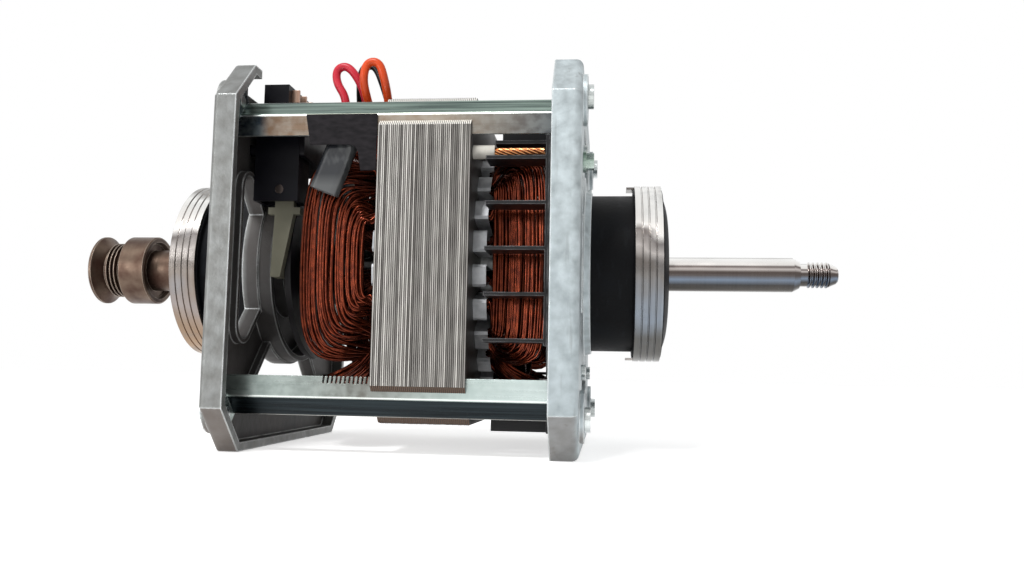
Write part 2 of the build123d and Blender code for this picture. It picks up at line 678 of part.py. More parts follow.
# Both ends' cushions, bands, bearings, retainers and oil felts
bearing_half = bearing_length / 2
for end, mid, outward, step in (("blower_end", 0.0, 1, blower_face + hub_step),
                                ("pulley_end", pulley_ring, -1, hub_step - pulley_face)):
    centre = mid - outward * bearing_inset
    write(cushion(mid, outward, step), f"{end}_cushion")
    write(ring_band(mid, outward), f"{end}_ring_band")
    write(sleeve_bearing(mid, outward), f"{end}_bearing")
    inboard = centre - outward * (bearing_half + retainer_gap)
    retainer = flat_ring(inboard, -outward, retainer_wall, shaft_r + retainer_clear, pocket_r - fit_gap)
    write(retainer, f"{end}_bearing_retainer")
    outboard = centre + outward * (bearing_half + retainer_gap)
    felt = flat_ring(outboard, outward, felt_wall, shaft_r + felt_clear, pocket_r - felt_gap)
    write(felt, f"{end}_oil_felt")

# Shaft: shouldered between the thrust washers, with an oil groove inside the blower-end cushion's nose and
# a threaded end
washer_out = bearing_inset + bearing_half + retainer_gap + retainer_wall + washer_gap
shoulder_right = -washer_out - washer_wall - shoulder_gap
shoulder_left = pulley_ring + washer_out + washer_wall + shoulder_gap
shaft_left = pulley_end + shaft_short
relief_end = cushion_nose - relief_inset
relief_start = relief_end - relief_width
with BuildPart() as shaft:
    thread_start = plain_reach + chamfer_length + neck_length
    turn = thread_length / thread_turns
    profile = [(shaft_left, 0), (shaft_left, shaft_r - 0.8), (shaft_left + 0.8, shaft_r),
               (shoulder_left, shaft_r), (shoulder_left, shoulder_r), (shoulder_right, shoulder_r),
               (shoulder_right, shaft_r), (relief_start, shaft_r), (relief_start, relief_r),
               (relief_end, relief_r), (relief_end, shaft_r),
               (plain_reach, shaft_r), (plain_reach + chamfer_length, chamfer_r),
               (plain_reach + chamfer_length, neck_r), (thread_start, neck_r)]
    for crest in range(thread_turns):
        at = thread_start + crest * turn
        profile += [(at + 0.15 * turn, thread_r - thread_depth), (at + 0.45 * turn, thread_r),
                    (at + 0.65 * turn, thread_r), (at + 0.95 * turn, thread_r - thread_depth)]
    thread_end = thread_start + thread_length
    profile += [(thread_end, thread_r - 0.3), (thread_end + tip_length - 0.6, tip_r),
                (thread_end + tip_length, tip_r - 0.6), (thread_end + tip_length, 0)]
    revolve(half_section(0, 1, *profile), axis=Axis.X)
write(shaft, "shaft")

# Pulley: rim, sloping face, ribs for the belt, and a collar with a recessed end round its neck
with BuildPart() as pulley:
    ribs_start = pulley_end + pulley_rim_wall + pulley_cone
    ribs_end = ribs_start + groove_count * groove_pitch
    collar_start = ribs_end + pulley_lift
    neck_start = collar_start + pulley_collar_length
    bore = shaft_r + running_gap
    profile = [(pulley_end, bore), (pulley_end, pulley_r - 0.5), (pulley_end + 0.5, pulley_r),
               (pulley_end + pulley_rim_wall, pulley_r), (ribs_start - 0.4, groove_top_r - groove_depth)]
    for rib in range(groove_count - 1):
        root = ribs_start + rib * groove_pitch
        profile += [(root + 0.4, groove_top_r - groove_depth), (root + groove_pitch - 0.5, groove_top_r),
                    (root + groove_pitch - 0.1, groove_top_r),
                    (root + groove_pitch + 0.2, groove_top_r - groove_depth)]
    profile += [(ribs_end - 0.9, groove_top_r - groove_depth), (collar_start - 0.6, pulley_r - 0.7),
                (collar_start, pulley_r), (neck_start - 0.5, pulley_r), (neck_start, pulley_r - 0.5),
                (neck_start, pulley_r - 2.0), (neck_start - collar_recess, pulley_r - 2.6),
                (neck_start - collar_recess, pulley_neck_r), (pulley_neck_end, pulley_neck_r),
                (pulley_neck_end, bore)]
    revolve(half_section(0, 1, *profile), axis=Axis.X)
write(pulley, "pulley")

# Rotor: a laminated core and cast end rings with fan blades
with BuildPart() as rotor_core:
    revolve(half_section(stack_left, 1, (0, shoulder_r + running_gap), (0, rotor_r), (stack_length, rotor_r),
                         (stack_length, shoulder_r + running_gap)), axis=Axis.X)
write(rotor_core, "rotor_core")


def end_ring(face, outward, blade_reach):
    with BuildPart() as ring:
        revolve(half_section(face, outward, (0, end_ring_bore), (0, end_ring_r),
                             (end_ring_wall, end_ring_r - 0.6), (end_ring_wall, end_ring_bore)), axis=Axis.X)
        with BuildSketch(Plane.YZ.offset(face + outward * end_ring_wall)):
            with PolarLocations(0, rotor_blade_count):
                with Locations(((end_ring_r + end_ring_bore) / 2, 0)):
                    Rectangle(end_ring_r - end_ring_bore - 1.6, rotor_blade_wall)
        extrude(amount=outward * blade_reach)
    return ring


write(end_ring(stack_left, -1, rotor_blade_reach_pulley_end), "rotor_end_ring_pulley_end")
write(end_ring(stack_right, 1, rotor_blade_reach_blower_end), "rotor_end_ring_blower_end")

# Thrust washers, one against each shoulder of the shaft
with BuildPart() as thrust_washers:
    add(flat_ring(-washer_out, -1, washer_wall, shaft_r + running_gap, washer_r).part)
    add(flat_ring(pulley_ring + washer_out, 1, washer_wall, shaft_r + running_gap, washer_r).part)
write(thrust_washers, "thrust_washers")

# Insulation sheet: thin board against the rail's outer face, with a tail beside the stack
with BuildPart() as insulation_sheet:
    sheet_left = stack_left - sheet_reach
    tail_left = stack_left - sheet_tail_reach
    sheet_right = stack_left - sheet_stack_gap
    with BuildSketch(Plane.XZ.offset(rail_face + sheet_gap)) as board:
        with BuildLine():
            Polyline((sheet_left, sheet_top), (sheet_left + 1.8, sheet_low), (tail_left, sheet_low),
                     (tail_left + 1.5, sheet_tail), (sheet_right, sheet_tail), (sheet_right, sheet_top),
                     close=True)
        make_face()
        fillet(board.vertices().sort_by_distance((tail_left, sheet_low))[0], sheet_round)
    extrude(amount=sheet_wall)
write(insulation_sheet, "insulation_sheet")

# Protector sleeve: a flattened tube that leans on the front coil, and the thermal protector inside it
lean = math.radians(sleeve_tilt)
sleeve_plane = Plane((stack_left - sleeve_reach, sleeve_y, sleeve_z),
                     x_dir=(math.cos(lean), 0, -math.sin(lean)), z_dir=(math.sin(lean), 0, math.cos(lean)))
sleeve_round = sleeve_depth / 2 - 0.2
with BuildPart() as protector_sleeve:
    with BuildSketch(sleeve_plane):
        RectangleRounded(sleeve_width, sleeve_depth, sleeve_round)
        RectangleRounded(sleeve_width - 2 * sleeve_wall, sleeve_depth - 2 * sleeve_wall,
                         sleeve_round - sleeve_wall, mode=Mode.SUBTRACT)
    extrude(amount=sleeve_length / 2, both=True)
write(protector_sleeve, "protector_sleeve")
with BuildPart() as thermal_protector:
    with BuildSketch(sleeve_plane):
        RectangleRounded(protector_width, protector_depth, protector_depth / 2 - 0.2)
    extrude(amount=protector_length / 2, both=True)
write(thermal_protector, "thermal_protector")

# Leads: each rises from the top coil or the switch, arches over the rail, and comes down on the top coil
lead_low = end_turn_face + main_wire / 2 + lead_seat
lead_routes = {
    "lead_red": [(-119.3, -28, 48.2), (-113.8, -28, 48.4), (-109.6, -29, 53.0), (-109.4, -30, 60.4),
                 (-113.2, -30, 66.0), (-113.4, -30, 71.0), (-109.6, -30, 72.5), (-105.6, -30, 68.2),
                 (-103.0, -27, 62.0), (-104.4, -18, 54.5), (-106.2, -8.6, 49.6), (-106.2, -8, lead_low)],
    "lead_orange": [(-102.2, -10, lead_low), (-102.2, -10.6, 49.4), (-101.0, -20.6, 53.6),
                    (-101.4, -30.5, 59.5), (-102.3, -34, 66.0), (-101.0, -34.2, 72.0), (-96.4, -34.2, 72.2),
                    (-94.4, -33.6, 65.8), (-93.8, -29, 59.0), (-96.0, -19, 53.5), (-98.2, -12, 49.4),
                    (-98.2, -11.4, lead_low)],
    "lead_black": [(-110.2, -6, lead_low), (-110.0, -6.6, 49.8), (-107.6, -15, 56.5), (-105.8, -24.4, 63.0),
                   (-105.4, -26, 70.4), (-103.2, -26, 73.9), (-99.6, -26, 73.3), (-96.6, -25.6, 66.0),
                   (-95.2, -19.5, 58.5), (-96.6, -12, 54.0), (-98.2, -2.6, 49.4), (-98.2, -2, lead_low)],
}
for name, route in lead_routes.items():
    path, spots, radii = rounded_path(route, [math.inf] * (len(route) - 2))
    print(name, round(path.length), "long, least radius", round(min(radii), 1))
    write(tube(path, lead_r), name)

# Crossover lead at the blower end: a sleeve at the stack, and the wires that run on to the guard
crossover_start = stack_right + crossover_gap
crossover_end = crossover_start + crossover_sleeve_length
with BuildPart() as crossover_sleeve:
    with BuildSketch(Plane.YZ.offset(crossover_start)):
        with Locations((crossover_y, crossover_z)):
            Circle(crossover_sleeve_r)
            Circle(crossover_wire_r + fit_gap, mode=Mode.SUBTRACT)
    extrude(amount=crossover_sleeve_length)
write(crossover_sleeve, "crossover_sleeve")
with BuildPart() as crossover_wires:
    with BuildSketch(Plane.YZ.offset(crossover_start + crossover_inside)):
        with Locations((crossover_y, crossover_z)):
            Circle(crossover_wire_r)
    extrude(amount=comb_left - crossover_short - crossover_start - crossover_inside)
write(crossover_wires, "crossover_wires")

# Start switch: a housing on two feet, open towards the blower end, with a hollow nose for the lever
foot_x = pulley_inner + switch_gap
house_left = pulley_inner + switch_foot
house_right = house_left + switch_depth
lever_x = pulley_inner + lever_pivot_from_web


def block_base(x, y, z):
    # A rectangle at height z between two places along X and two along Y
    with BuildSketch(Plane.XY.offset(z)) as base:
        with Locations(((x[0] + x[1]) / 2, (y[0] + y[1]) / 2)):
            Rectangle(x[1] - x[0], y[1] - y[0])
    return base.sketch


block_left = house_left + block_from_foot
block_right = block_left + block_width
house_high = switch_high - switch_floor
blades_at = [blade_first + blade * blade_pitch for blade in range(blade_count)]
with BuildPart() as switch_housing:
    wall = switch_wall
    extrude(block_base((house_left, house_right), (switch_front, switch_back), switch_floor),
            amount=house_high)
    extrude(block_base((house_left, house_right), (switch_front, nose_back), switch_low),
            amount=switch_floor - switch_low)
    extrude(block_base((block_left, block_right), (block_front, block_back), switch_high),
            amount=block_high - switch_high)
    extrude(block_base((house_left + wall, house_right + 1), (switch_front + wall, switch_back - wall),
                       switch_floor + wall), amount=house_high - 2 * wall, mode=Mode.SUBTRACT)
    extrude(block_base((house_left + wall, house_right - wall), (switch_front + wall, nose_back - wall),
                       switch_low - 1), amount=switch_floor + 2 * wall - switch_low, mode=Mode.SUBTRACT)
    with BuildSketch(Plane.YZ.offset(foot_x)):
        with Locations(*switch_posts):
            Circle(switch_post_r)
    extrude(amount=switch_foot - switch_gap)
    with BuildSketch(Plane.YZ.offset(foot_x - 1)):
        with Locations(*switch_posts):
            Circle(small_pilot_r)
    extrude(amount=switch_foot + wall + 0.5, mode=Mode.SUBTRACT)
    with BuildSketch(Plane.XZ.offset(-switch_front + 1)):
        with Locations((lever_x, lever_pivot_z)):
            Circle(lever_pin_r + pin_seat_gap)
    extrude(amount=switch_front - nose_back - 2, mode=Mode.SUBTRACT)
    half_slot = blade_thick / 2 + blade_gap
    for at in blades_at:
        extrude(block_base((block_right - blade_in, block_right + 1), (at - half_slot, at + half_slot),
                           blade_low - blade_gap), amount=blade_high - blade_low + 2 * blade_gap,
                mode=Mode.SUBTRACT)
write(switch_housing, "switch_housing")

# Switch cover: a plate that closes the housing's open side
cover_left = house_right + fit_gap
with BuildPart() as switch_cover:
    extrude(block_base((cover_left, cover_left + cover_wall), (switch_front, switch_back), switch_floor),
            amount=house_high)
    fillet(switch_cover.edges().filter_by(Axis.X), cover_round)
write(switch_cover, "switch_cover")

# Terminals: a row of flat blades standing out of the top block
with BuildPart() as switch_terminals:
    for at in blades_at:
        extrude(block_base((block_right - blade_in, block_right + blade_out),
                           (at - blade_thick / 2, at + blade_thick / 2), blade_low),
                amount=blade_high - blade_low)
write(switch_terminals, "switch_terminals")

# Contacts and their leaf spring, inside the housing
leaf_left = house_left + switch_wall + fit_gap + leaf_inset
leaf_floor = switch_floor + switch_wall + fit_gap
contact_y = lever_y + contact_across
with BuildPart() as switch_contact_spring:
    leaf_edges = (contact_y - leaf_width / 2, contact_y + leaf_width / 2)
    foot_edges = (contact_y - leaf_foot / 2, contact_y + leaf_foot / 2)
    extrude(block_base((leaf_left, leaf_left + leaf_wall), leaf_edges, leaf_floor), amount=leaf_high)
    extrude(block_base((leaf_left - leaf_inset, leaf_left), foot_edges, leaf_floor), amount=leaf_foot_high)
write(switch_contact_spring, "switch_contact_spring")
with BuildPart() as switch_contacts:
    for side in (leaf_left + leaf_wall + fit_gap, house_right - contact_wall):
        with BuildSketch(Plane.YZ.offset(side)):
            with Locations((contact_y, switch_floor + contact_high)):
                Circle(contact_r)
        extrude(amount=contact_wall)
write(switch_contacts, "switch_contacts")

# Switch screws, driven from outside the bracket into the housing's feet
with BuildPart() as switch_screws:
    with BuildSketch(Plane.YZ.offset(pulley_face)):
        with Locations(*switch_posts):
            Circle(small_head_r)
    extrude(amount=-small_head)
    with BuildSketch(Plane.YZ.offset(pulley_face)):
        with Locations(*switch_posts):
            Circle(small_core_r)
    extrude(amount=pulley_web + switch_foot + switch_wall - switch_screw_short)
write(switch_screws, "switch_screws")

# Lever pin, through both walls of the nose
with BuildPart() as lever_pin:
    with BuildSketch(Plane.XZ.offset(-switch_front + pin_reach)):
        with Locations((lever_x, lever_pivot_z)):
            Circle(lever_pin_r)
    extrude(amount=switch_front - nose_back - 2 * pin_reach)
write(lever_pin, "lever_pin")

# Lever: moulded plate that hangs from the pin, with a nose that rests against the governor's disc
collar_left = pulley_inner + collar_from_web
with BuildPart() as switch_lever:
    tip_right = collar_left - lever_rest_gap
    with BuildSketch(Plane.XZ.offset(-lever_y - lever_thick / 2)):
        with BuildLine():
            Polyline((tip_right - lever_tip_width, lever_tip_z), (tip_right, lever_tip_z),
                     (lever_x + lever_stem_half, lever_ear_low), (lever_x + lever_stem_half, lever_pivot_z),
                     (lever_x + lever_neck_half, lever_pivot_z + lever_shoulder),
                     (lever_x + lever_top_half, lever_top), (lever_x - lever_top_half, lever_top),
                     (lever_x - lever_neck_half, lever_pivot_z + lever_shoulder),
                     (lever_x - lever_stem_half, lever_pivot_z),
                     (lever_x - lever_stem_half, lever_ear_low), close=True)
        make_face()
        with Locations((lever_x, lever_pivot_z)):
            Circle(lever_boss_r)
        with Locations((lever_x, (lever_ear_low + lever_ear_high) / 2)):
            Rectangle(2 * lever_ear_half, lever_ear_high - lever_ear_low)
    extrude(amount=lever_thick)
    extrude(block_base((tip_right - lever_tip_width, tip_right),
                       (lever_y, lever_y + lever_thick / 2 + lever_nose_reach), lever_tip_z),
            amount=lever_nose_height)
    with BuildSketch(Plane.XZ.offset(-lever_y + lever_thick)):
        with Locations((lever_x, lever_pivot_z)):
            Circle(lever_pin_r + pin_gap)
    extrude(amount=-2 * lever_thick, mode=Mode.SUBTRACT)
write(switch_lever, "switch_lever")

# Governor collar: a disc on a sleeve that slides along the shaft, with a groove for the weights' fingers
outer_flange = governor_collar_length - flange_wall
inner_flange = outer_flange - groove_width
collar_bore = shoulder_r + running_gap
with BuildPart() as governor_collar:
    revolve(half_section(collar_left, 1, (0, collar_bore), (0, collar_disc_r),
            (collar_disc_wall, collar_disc_r), (collar_disc_wall, collar_hub_r),
            (inner_flange - flange_wall, collar_hub_r), (inner_flange - flange_wall, flange_r),
            (inner_flange, flange_r), (inner_flange, collar_hub_r), (outer_flange, collar_hub_r),
            (outer_flange, flange_r), (governor_collar_length, flange_r),
            (governor_collar_length, collar_bore)), axis=Axis.X)
write(governor_collar, "governor_collar")

# Governor base: a plate pressed on the shaft, with a hub and two pairs of ears that carry the pins
base_face = collar_left + governor_collar_length + governor_travel + governor_rest_gap
pivot_x = collar_left + inner_flange + groove_width / 2
ear_y = weight_half + ear_gap
ear_mid = ear_y + ear_wall / 2
with BuildPart() as governor_base:
    revolve(half_section(base_face, 1, (0, collar_bore), (0, base_r), (base_wall, base_r),
            (base_wall, base_hub_r), (base_wall + base_hub_reach, base_hub_r),
            (base_wall + base_hub_reach, collar_bore)), axis=Axis.X)
    for side in (1, -1):
        for low in (ear_root, -weight_pivot_r - ear_end_gap):
            extrude(block_base((pivot_x - ear_end_gap, base_face + base_wall),
                               (side * ear_mid - ear_wall / 2, side * ear_mid + ear_wall / 2), low),
                    amount=weight_pivot_r + ear_end_gap - ear_root)
    with BuildSketch(Plane.XZ.offset(-ear_y - 2 * ear_wall)):
        with Locations((pivot_x, weight_pivot_r), (pivot_x, -weight_pivot_r)):
            Circle(governor_pin_r + pin_seat_gap)
    extrude(amount=2 * (ear_y + 2 * ear_wall), mode=Mode.SUBTRACT)
write(governor_base, "governor_base")

# Governor pins
with BuildPart() as governor_pins:
    with BuildSketch(Plane.XZ.offset(-ear_y - ear_wall - governor_pin_reach)):
        with Locations((pivot_x, weight_pivot_r), (pivot_x, -weight_pivot_r)):
            Circle(governor_pin_r)
    extrude(amount=2 * (ear_y + ear_wall + governor_pin_reach))
write(governor_pins, "governor_pins")


def weight(up):
    # A fly weight: mass, pivot boss, and a finger that reaches into the collar's groove
    with BuildPart() as piece:
        with BuildSketch(Plane.XZ.offset(-weight_half)):
            with BuildLine():
                Polyline((pivot_x + weight_start, up * weight_low), (pivot_x + weight_end, up * weight_low),
                         (pivot_x + weight_end, up * weight_high), (pivot_x + weight_start, up * weight_high),
                         close=True)
            make_face()
            with Locations((pivot_x, up * weight_pivot_r)):
                Circle(weight_boss_r)
        extrude(amount=2 * weight_half)
        with BuildSketch(Plane.XZ.offset(-finger_half)):
            with BuildLine():
                Polyline((pivot_x - finger_wall / 2, up * weight_finger_r),
                         (pivot_x + finger_wall / 2, up * weight_finger_r),
                         (pivot_x + finger_wall / 2, up * weight_pivot_r),
                         (pivot_x - finger_wall / 2, up * weight_pivot_r), close=True)
            make_face()
        extrude(amount=2 * finger_half)
        with BuildSketch(Plane.XZ.offset(-spring_y - spring_r)):
            with Locations((pivot_x + weight_end - spring_post_r, up * spring_post_at)):
                Circle(spring_post_r)
        extrude(amount=2 * (spring_y + spring_r))
        with BuildSketch(Plane.XZ.offset(-weight_half - 1)):
            with Locations((pivot_x, up * weight_pivot_r)):
                Circle(governor_pin_r + pin_gap)
        extrude(amount=2 * (weight_half + 1), mode=Mode.SUBTRACT)
    return piece


write(weight(1), "governor_weight_a")
write(weight(-1), "governor_weight_b")

# Governor springs, one on each side of the shaft, from weight to weight
with BuildPart() as governor_springs:
    spring_top = spring_post_at - spring_post_r - spring_seat
    with BuildSketch(Plane.XY.offset(-spring_top)):
        with Locations(*[(pivot_x + weight_end - spring_post_r, side * spring_y) for side in (1, -1)]):
            Circle(spring_r)
    extrude(amount=2 * spring_top)
write(governor_springs, "governor_springs")
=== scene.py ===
import math
import random

import bpy
from mathutils import Matrix, Vector


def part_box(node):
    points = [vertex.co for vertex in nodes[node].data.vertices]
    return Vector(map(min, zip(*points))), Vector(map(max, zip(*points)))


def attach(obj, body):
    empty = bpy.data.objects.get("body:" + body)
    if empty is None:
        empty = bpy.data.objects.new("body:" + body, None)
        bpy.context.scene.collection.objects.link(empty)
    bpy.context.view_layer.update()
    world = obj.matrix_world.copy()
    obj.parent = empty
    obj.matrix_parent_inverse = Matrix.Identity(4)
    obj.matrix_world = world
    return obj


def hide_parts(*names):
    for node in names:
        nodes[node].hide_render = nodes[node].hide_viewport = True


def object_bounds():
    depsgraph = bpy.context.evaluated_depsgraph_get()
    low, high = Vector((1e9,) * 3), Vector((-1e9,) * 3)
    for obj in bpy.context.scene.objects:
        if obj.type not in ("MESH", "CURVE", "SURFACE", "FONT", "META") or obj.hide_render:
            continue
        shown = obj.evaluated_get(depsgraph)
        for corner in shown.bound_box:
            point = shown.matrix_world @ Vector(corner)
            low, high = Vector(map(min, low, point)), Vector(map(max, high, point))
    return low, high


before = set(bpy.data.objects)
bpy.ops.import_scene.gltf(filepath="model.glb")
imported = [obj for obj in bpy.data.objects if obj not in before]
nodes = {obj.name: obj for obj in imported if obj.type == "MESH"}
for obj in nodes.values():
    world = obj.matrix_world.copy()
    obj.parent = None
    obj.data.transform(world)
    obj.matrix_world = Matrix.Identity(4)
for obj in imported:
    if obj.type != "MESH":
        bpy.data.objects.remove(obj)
cad_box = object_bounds()

# Camera: stands in front, level with the motor's lower half and to the right of its middle, and looks
# slightly up and to the left. Its place and lens were fitted to the shaft's axis and the brackets'
# corners.
camera_place = Vector((-0.0142, -0.33927, -0.03793))
camera_turn, camera_tilt, camera_roll = math.radians(-6.136), math.radians(5.397), math.radians(1.093)
camera_lens = 31.478
ahead = Vector((math.sin(camera_turn) * math.cos(camera_tilt),
                math.cos(camera_turn) * math.cos(camera_tilt), math.sin(camera_tilt)))
level = Vector((math.cos(camera_turn), -math.sin(camera_turn), 0))
upright = level.cross(ahead)
right = level * math.cos(camera_roll) + upright * math.sin(camera_roll)
up = upright * math.cos(camera_roll) - level * math.sin(camera_roll)
camera_data = bpy.data.cameras.new("camera")
camera_data.lens = camera_lens
camera_data.sensor_width = 36
camera = bpy.data.objects.new("camera", camera_data)
camera.matrix_world = Matrix.Translation(camera_place) @ Matrix((right, up, -ahead)).transposed().to_4x4()
bpy.context.scene.collection.objects.link(camera)
bpy.context.scene.camera = camera


# Leads: three insulated wires that arch over the top front rail, from the switch and the top coil
# back to the top coil. Their PVC is soft and slightly glossy, and they bend as one smooth line.
class Tone:
    """A value or colour in one finish; arithmetic on it adds that finish's own maths nodes."""

    def __init__(self, tree, socket):
        self.tree = tree
        self.socket = socket

    def node(self, kind, inputs=None, output=0, stops=None, **settings):
        # Adds a node: its settings first, then a ramp's stops, then the values or links of its sockets
        made = self.tree.nodes.new(kind)
        for name, value in settings.items():
            setattr(made, name, value)
        if stops:
            points = made.color_ramp.elements
            while len(points) < len(stops):
                points.new(0.5)
            for point, (at, colour) in zip(points, stops):
                point.position = at
                point.color = colour
        for name, value in (inputs or {}).items():
            if isinstance(value, Tone):
                self.tree.links.new(value.socket, made.inputs[name])
            else:
                made.inputs[name].default_value = value
        return Tone(self.tree, made.outputs[output])

    def maths(self, operation, *values, **settings):
        return self.node("ShaderNodeMath", dict(enumerate(values)), operation=operation, **settings)

    def __add__(self, other):
        return self.maths("ADD", self, other)

    def __sub__(self, other):
        return self.maths("SUBTRACT", self, other)

    def __rsub__(self, other):
        return self.maths("SUBTRACT", other, self)

    def __mul__(self, other):
        return self.maths("MULTIPLY", self, other)

    def __truediv__(self, other):
        return self.maths("DIVIDE", self, other)

    __radd__ = __add__
    __rmul__ = __mul__

    def between(self, low, high):
        # 0 at low, 1 at high, and held there
        return self.node("ShaderNodeMapRange", {"Value": self, "From Min": low, "From Max": high})

    def mix(self, low, high):
        # low where this mask is 0, high where it is 1
        return self.node("ShaderNodeMix", {0: self, 6: low, 7: high}, output=2, data_type="RGBA")

    def toward(self, other, amount):
        # This colour, mixed with another by the same amount everywhere
        return self.node("ShaderNodeMix", {0: amount, 6: self, 7: other}, output=2, data_type="RGBA")

    def noise(self, scale, detail=2.0, stretch=(1, 1, 1)):
        stretched = self.node("ShaderNodeMapping", {"Vector": self, "Scale": stretch})
        return self.node("ShaderNodeTexNoise", {"Vector": stretched, "Scale": scale, "Detail": detail})

    def axis(self, name):
        return self.node("ShaderNodeSeparateXYZ", {0: self}, output=name)

    def size(self):
        return self.maths("ABSOLUTE", self)

    def larger(self, other):
        return self.maths("MAXIMUM", self, other)

    def facing(self):
        # Which way the surface looks
        return self.node("ShaderNodeNewGeometry", output="True Normal")


def colour(red, green, blue):
    # A colour given as a screen shows it, from 0 to 255, in the linear values that a shader takes
    return tuple(((value / 255 + 0.055) / 1.055) ** 2.4 if value > 10 else value / 255 / 12.92
                 for value in (red, green, blue)) + (1.0,)


def new_finish(name):
    # An empty finish, with the place on the object that its patterns are drawn by
    material = bpy.data.materials.new(name)
    material.use_nodes = True
    tree = material.node_tree
    place = Tone(tree, tree.nodes.new("ShaderNodeTexCoord").outputs["Object"])
    return material, place


def edge_mask(place, radius):
    # 1 along the edges and corners, 0 on the flats
    soft = place.node("ShaderNodeBevel", {"Radius": radius}, samples=4)
    hard = place.node("ShaderNodeNewGeometry", output="Normal")
    facing = place.node("ShaderNodeVectorMath", {0: soft, 1: hard}, output="Value", operation="DOT_PRODUCT")
    return (1 - facing).between(0.02, 0.14)


def dress(material, place, base, roughness, metallic=0.0, height=None, relief=0.0001, rounding=0.0,
          **fixed):
    # Fills in the shader: height is the bump's pattern, relief its depth, rounding softens hard edges,
    # and fixed holds any other socket's value, under the socket's name in small letters
    tree = material.node_tree
    shader = tree.nodes["Principled BSDF"]
    varied = {"Base Color": base, "Roughness": roughness, "Metallic": metallic}
    normal = place.node("ShaderNodeBevel", {"Radius": rounding}, samples=4) if rounding else None
    if height is not None:
        inputs = {"Height": height, "Distance": relief, "Strength": 1.0}
        if normal:
            inputs["Normal"] = normal
        normal = place.node("ShaderNodeBump", inputs)
    if normal:
        varied["Normal"] = normal
    for name, value in varied.items():
        if isinstance(value, Tone):
            tree.links.new(value.socket, shader.inputs[name])
        else:
            shader.inputs[name].default_value = value
    for name, value in fixed.items():
        shader.inputs[name.replace("_", " ").title().replace("Ior", "IOR")].default_value = value
    return material


def wear(material, *names):
    # Gives CAD pieces their finish
    for name in names:
        for slot in nodes[name].material_slots:
            slot.material = material


def plastic_finish(name, shade, rough=0.42, mottle=0.12, shine=0.3):
    # Moulded or extruded plastic: an even colour, faintly cloudy, with a fine satin skin
    material, place = new_finish(name)
    cloud = place.noise(160, 3).between(0.35, 0.65)
    darker = tuple(value * (1 - mottle) for value in shade[:3]) + (1.0,)
    skin = place.noise(2600, 2)
    return dress(material, place, cloud.mix(darker, shade), cloud * 0.1 + rough, height=skin,
                 relief=0.00002, specular_ior_level=shine)


def smooth_tube(name, points, radius, order=4, sides=3, steps=4):
    # A round tube along one smooth line that the points steer. The radius is kept on the points, with a
    # bevel of 1, because Blender pads a curve's bounds by its points' radius.
    data = bpy.data.curves.new(name, "CURVE")
    data.dimensions = "3D"
    data.resolution_u = steps
    data.bevel_depth = 1.0
    data.bevel_resolution = sides
    data.use_fill_caps = True
    line = data.splines.new("NURBS")
    line.points.add(len(points) - 1)
    for point, place in zip(line.points, points):
        point.co = (*place, 1)
        point.radius = radius
    line.order_u = order
    line.use_endpoint_u = True
    piece = bpy.data.objects.new(name, data)
    bpy.context.scene.collection.objects.link(piece)
    return piece


def in_metres(points):
    return [Vector(point) / 1000 for point in points]


# Routes in millimetres from end to end; at lead_low a lead's end comes down on the top coil
lead_r, lead_low = 1.5, 44.5
lead_routes = {
    "lead_red": [(-119.3, -28, 48.2), (-113.8, -28, 48.4), (-109.6, -29, 53.0), (-109.4, -30, 60.4),
                 (-113.2, -30, 66.0), (-113.4, -30, 71.0), (-109.6, -30, 72.5), (-105.6, -30, 68.2),
                 (-103.0, -27, 62.0), (-104.4, -18, 54.5), (-106.2, -8.6, 49.6), (-106.2, -8, lead_low)],
    "lead_orange": [(-102.2, -10, lead_low), (-102.2, -10.6, 49.4), (-101.0, -20.6, 53.6),
                    (-101.4, -30.5, 59.5), (-102.3, -34, 66.0), (-101.0, -34.2, 72.0), (-96.4, -34.2, 72.2),
                    (-94.4, -33.6, 65.8), (-93.8, -29, 59.0), (-96.0, -19, 53.5), (-98.2, -12, 49.4),
                    (-98.2, -11.4, lead_low)],
    "lead_black": [(-110.2, -6, lead_low), (-110.0, -6.6, 49.8), (-107.6, -15, 56.5), (-105.8, -24.4, 63.0),
                   (-105.4, -26, 70.4), (-103.2, -26, 73.9), (-99.6, -26, 73.3), (-96.6, -25.6, 66.0),
                   (-95.2, -19.5, 58.5), (-96.6, -12, 54.0), (-98.2, -2.6, 49.4), (-98.2, -2, lead_low)],
}
lead_shades = {"lead_red": colour(198, 40, 58), "lead_orange": colour(214, 74, 26),
               "lead_black": colour(14, 13, 14)}
for name, route in lead_routes.items():
    lead = smooth_tube(f"{name}_wire", in_metres(route), lead_r / 1000, order=3, sides=6, steps=8)
    lead.data.materials.append(plastic_finish(f"{name}_skin", lead_shades[name], 0.3))
    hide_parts(name)
    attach(lead, "frame")

# End brackets: square pans cast in aluminium alloy, held by a screw in each corner. They have a mottled
# grey skin, duller at the pulley end, and edges that handling has rubbed bright. Shade is painted within
# the pans, dark and cloudy, and a brown painted shade lies on faces that look down, low on their outsides.
cast_grey, cast_dark, cast_pale = colour(194, 204, 207), colour(150, 158, 160), colour(236, 240, 240)
dull_grey, dull_dark = colour(136, 138, 137), colour(106, 106, 103)
flow_grey, flow_dull = colour(150, 162, 168), colour(96, 98, 98)
brush_mark, painted_shade_brown = colour(100, 100, 98), colour(104, 90, 82)
painted_shade_deep, painted_shade_thin = colour(30, 29, 31), colour(62, 57, 55)
rim_inside, rim_outside = 0.0622, 0.0632
corner_less = 0.04976
pulley_web_x, blower_web_x = -0.1428, -0.0262
web_outer, web_inner = 0.0006, 0.0016
pulley_half, blower_half = (-0.12, -0.1), (-0.07, -0.05)
looks_down, lies_low = (-0.72, -0.3), (-0.05, -0.03)
cast_metal, place = new_finish("cast_aluminium")
along, across, high = place.axis("X"), place.axis("Y").size(), place.axis("Z").size()
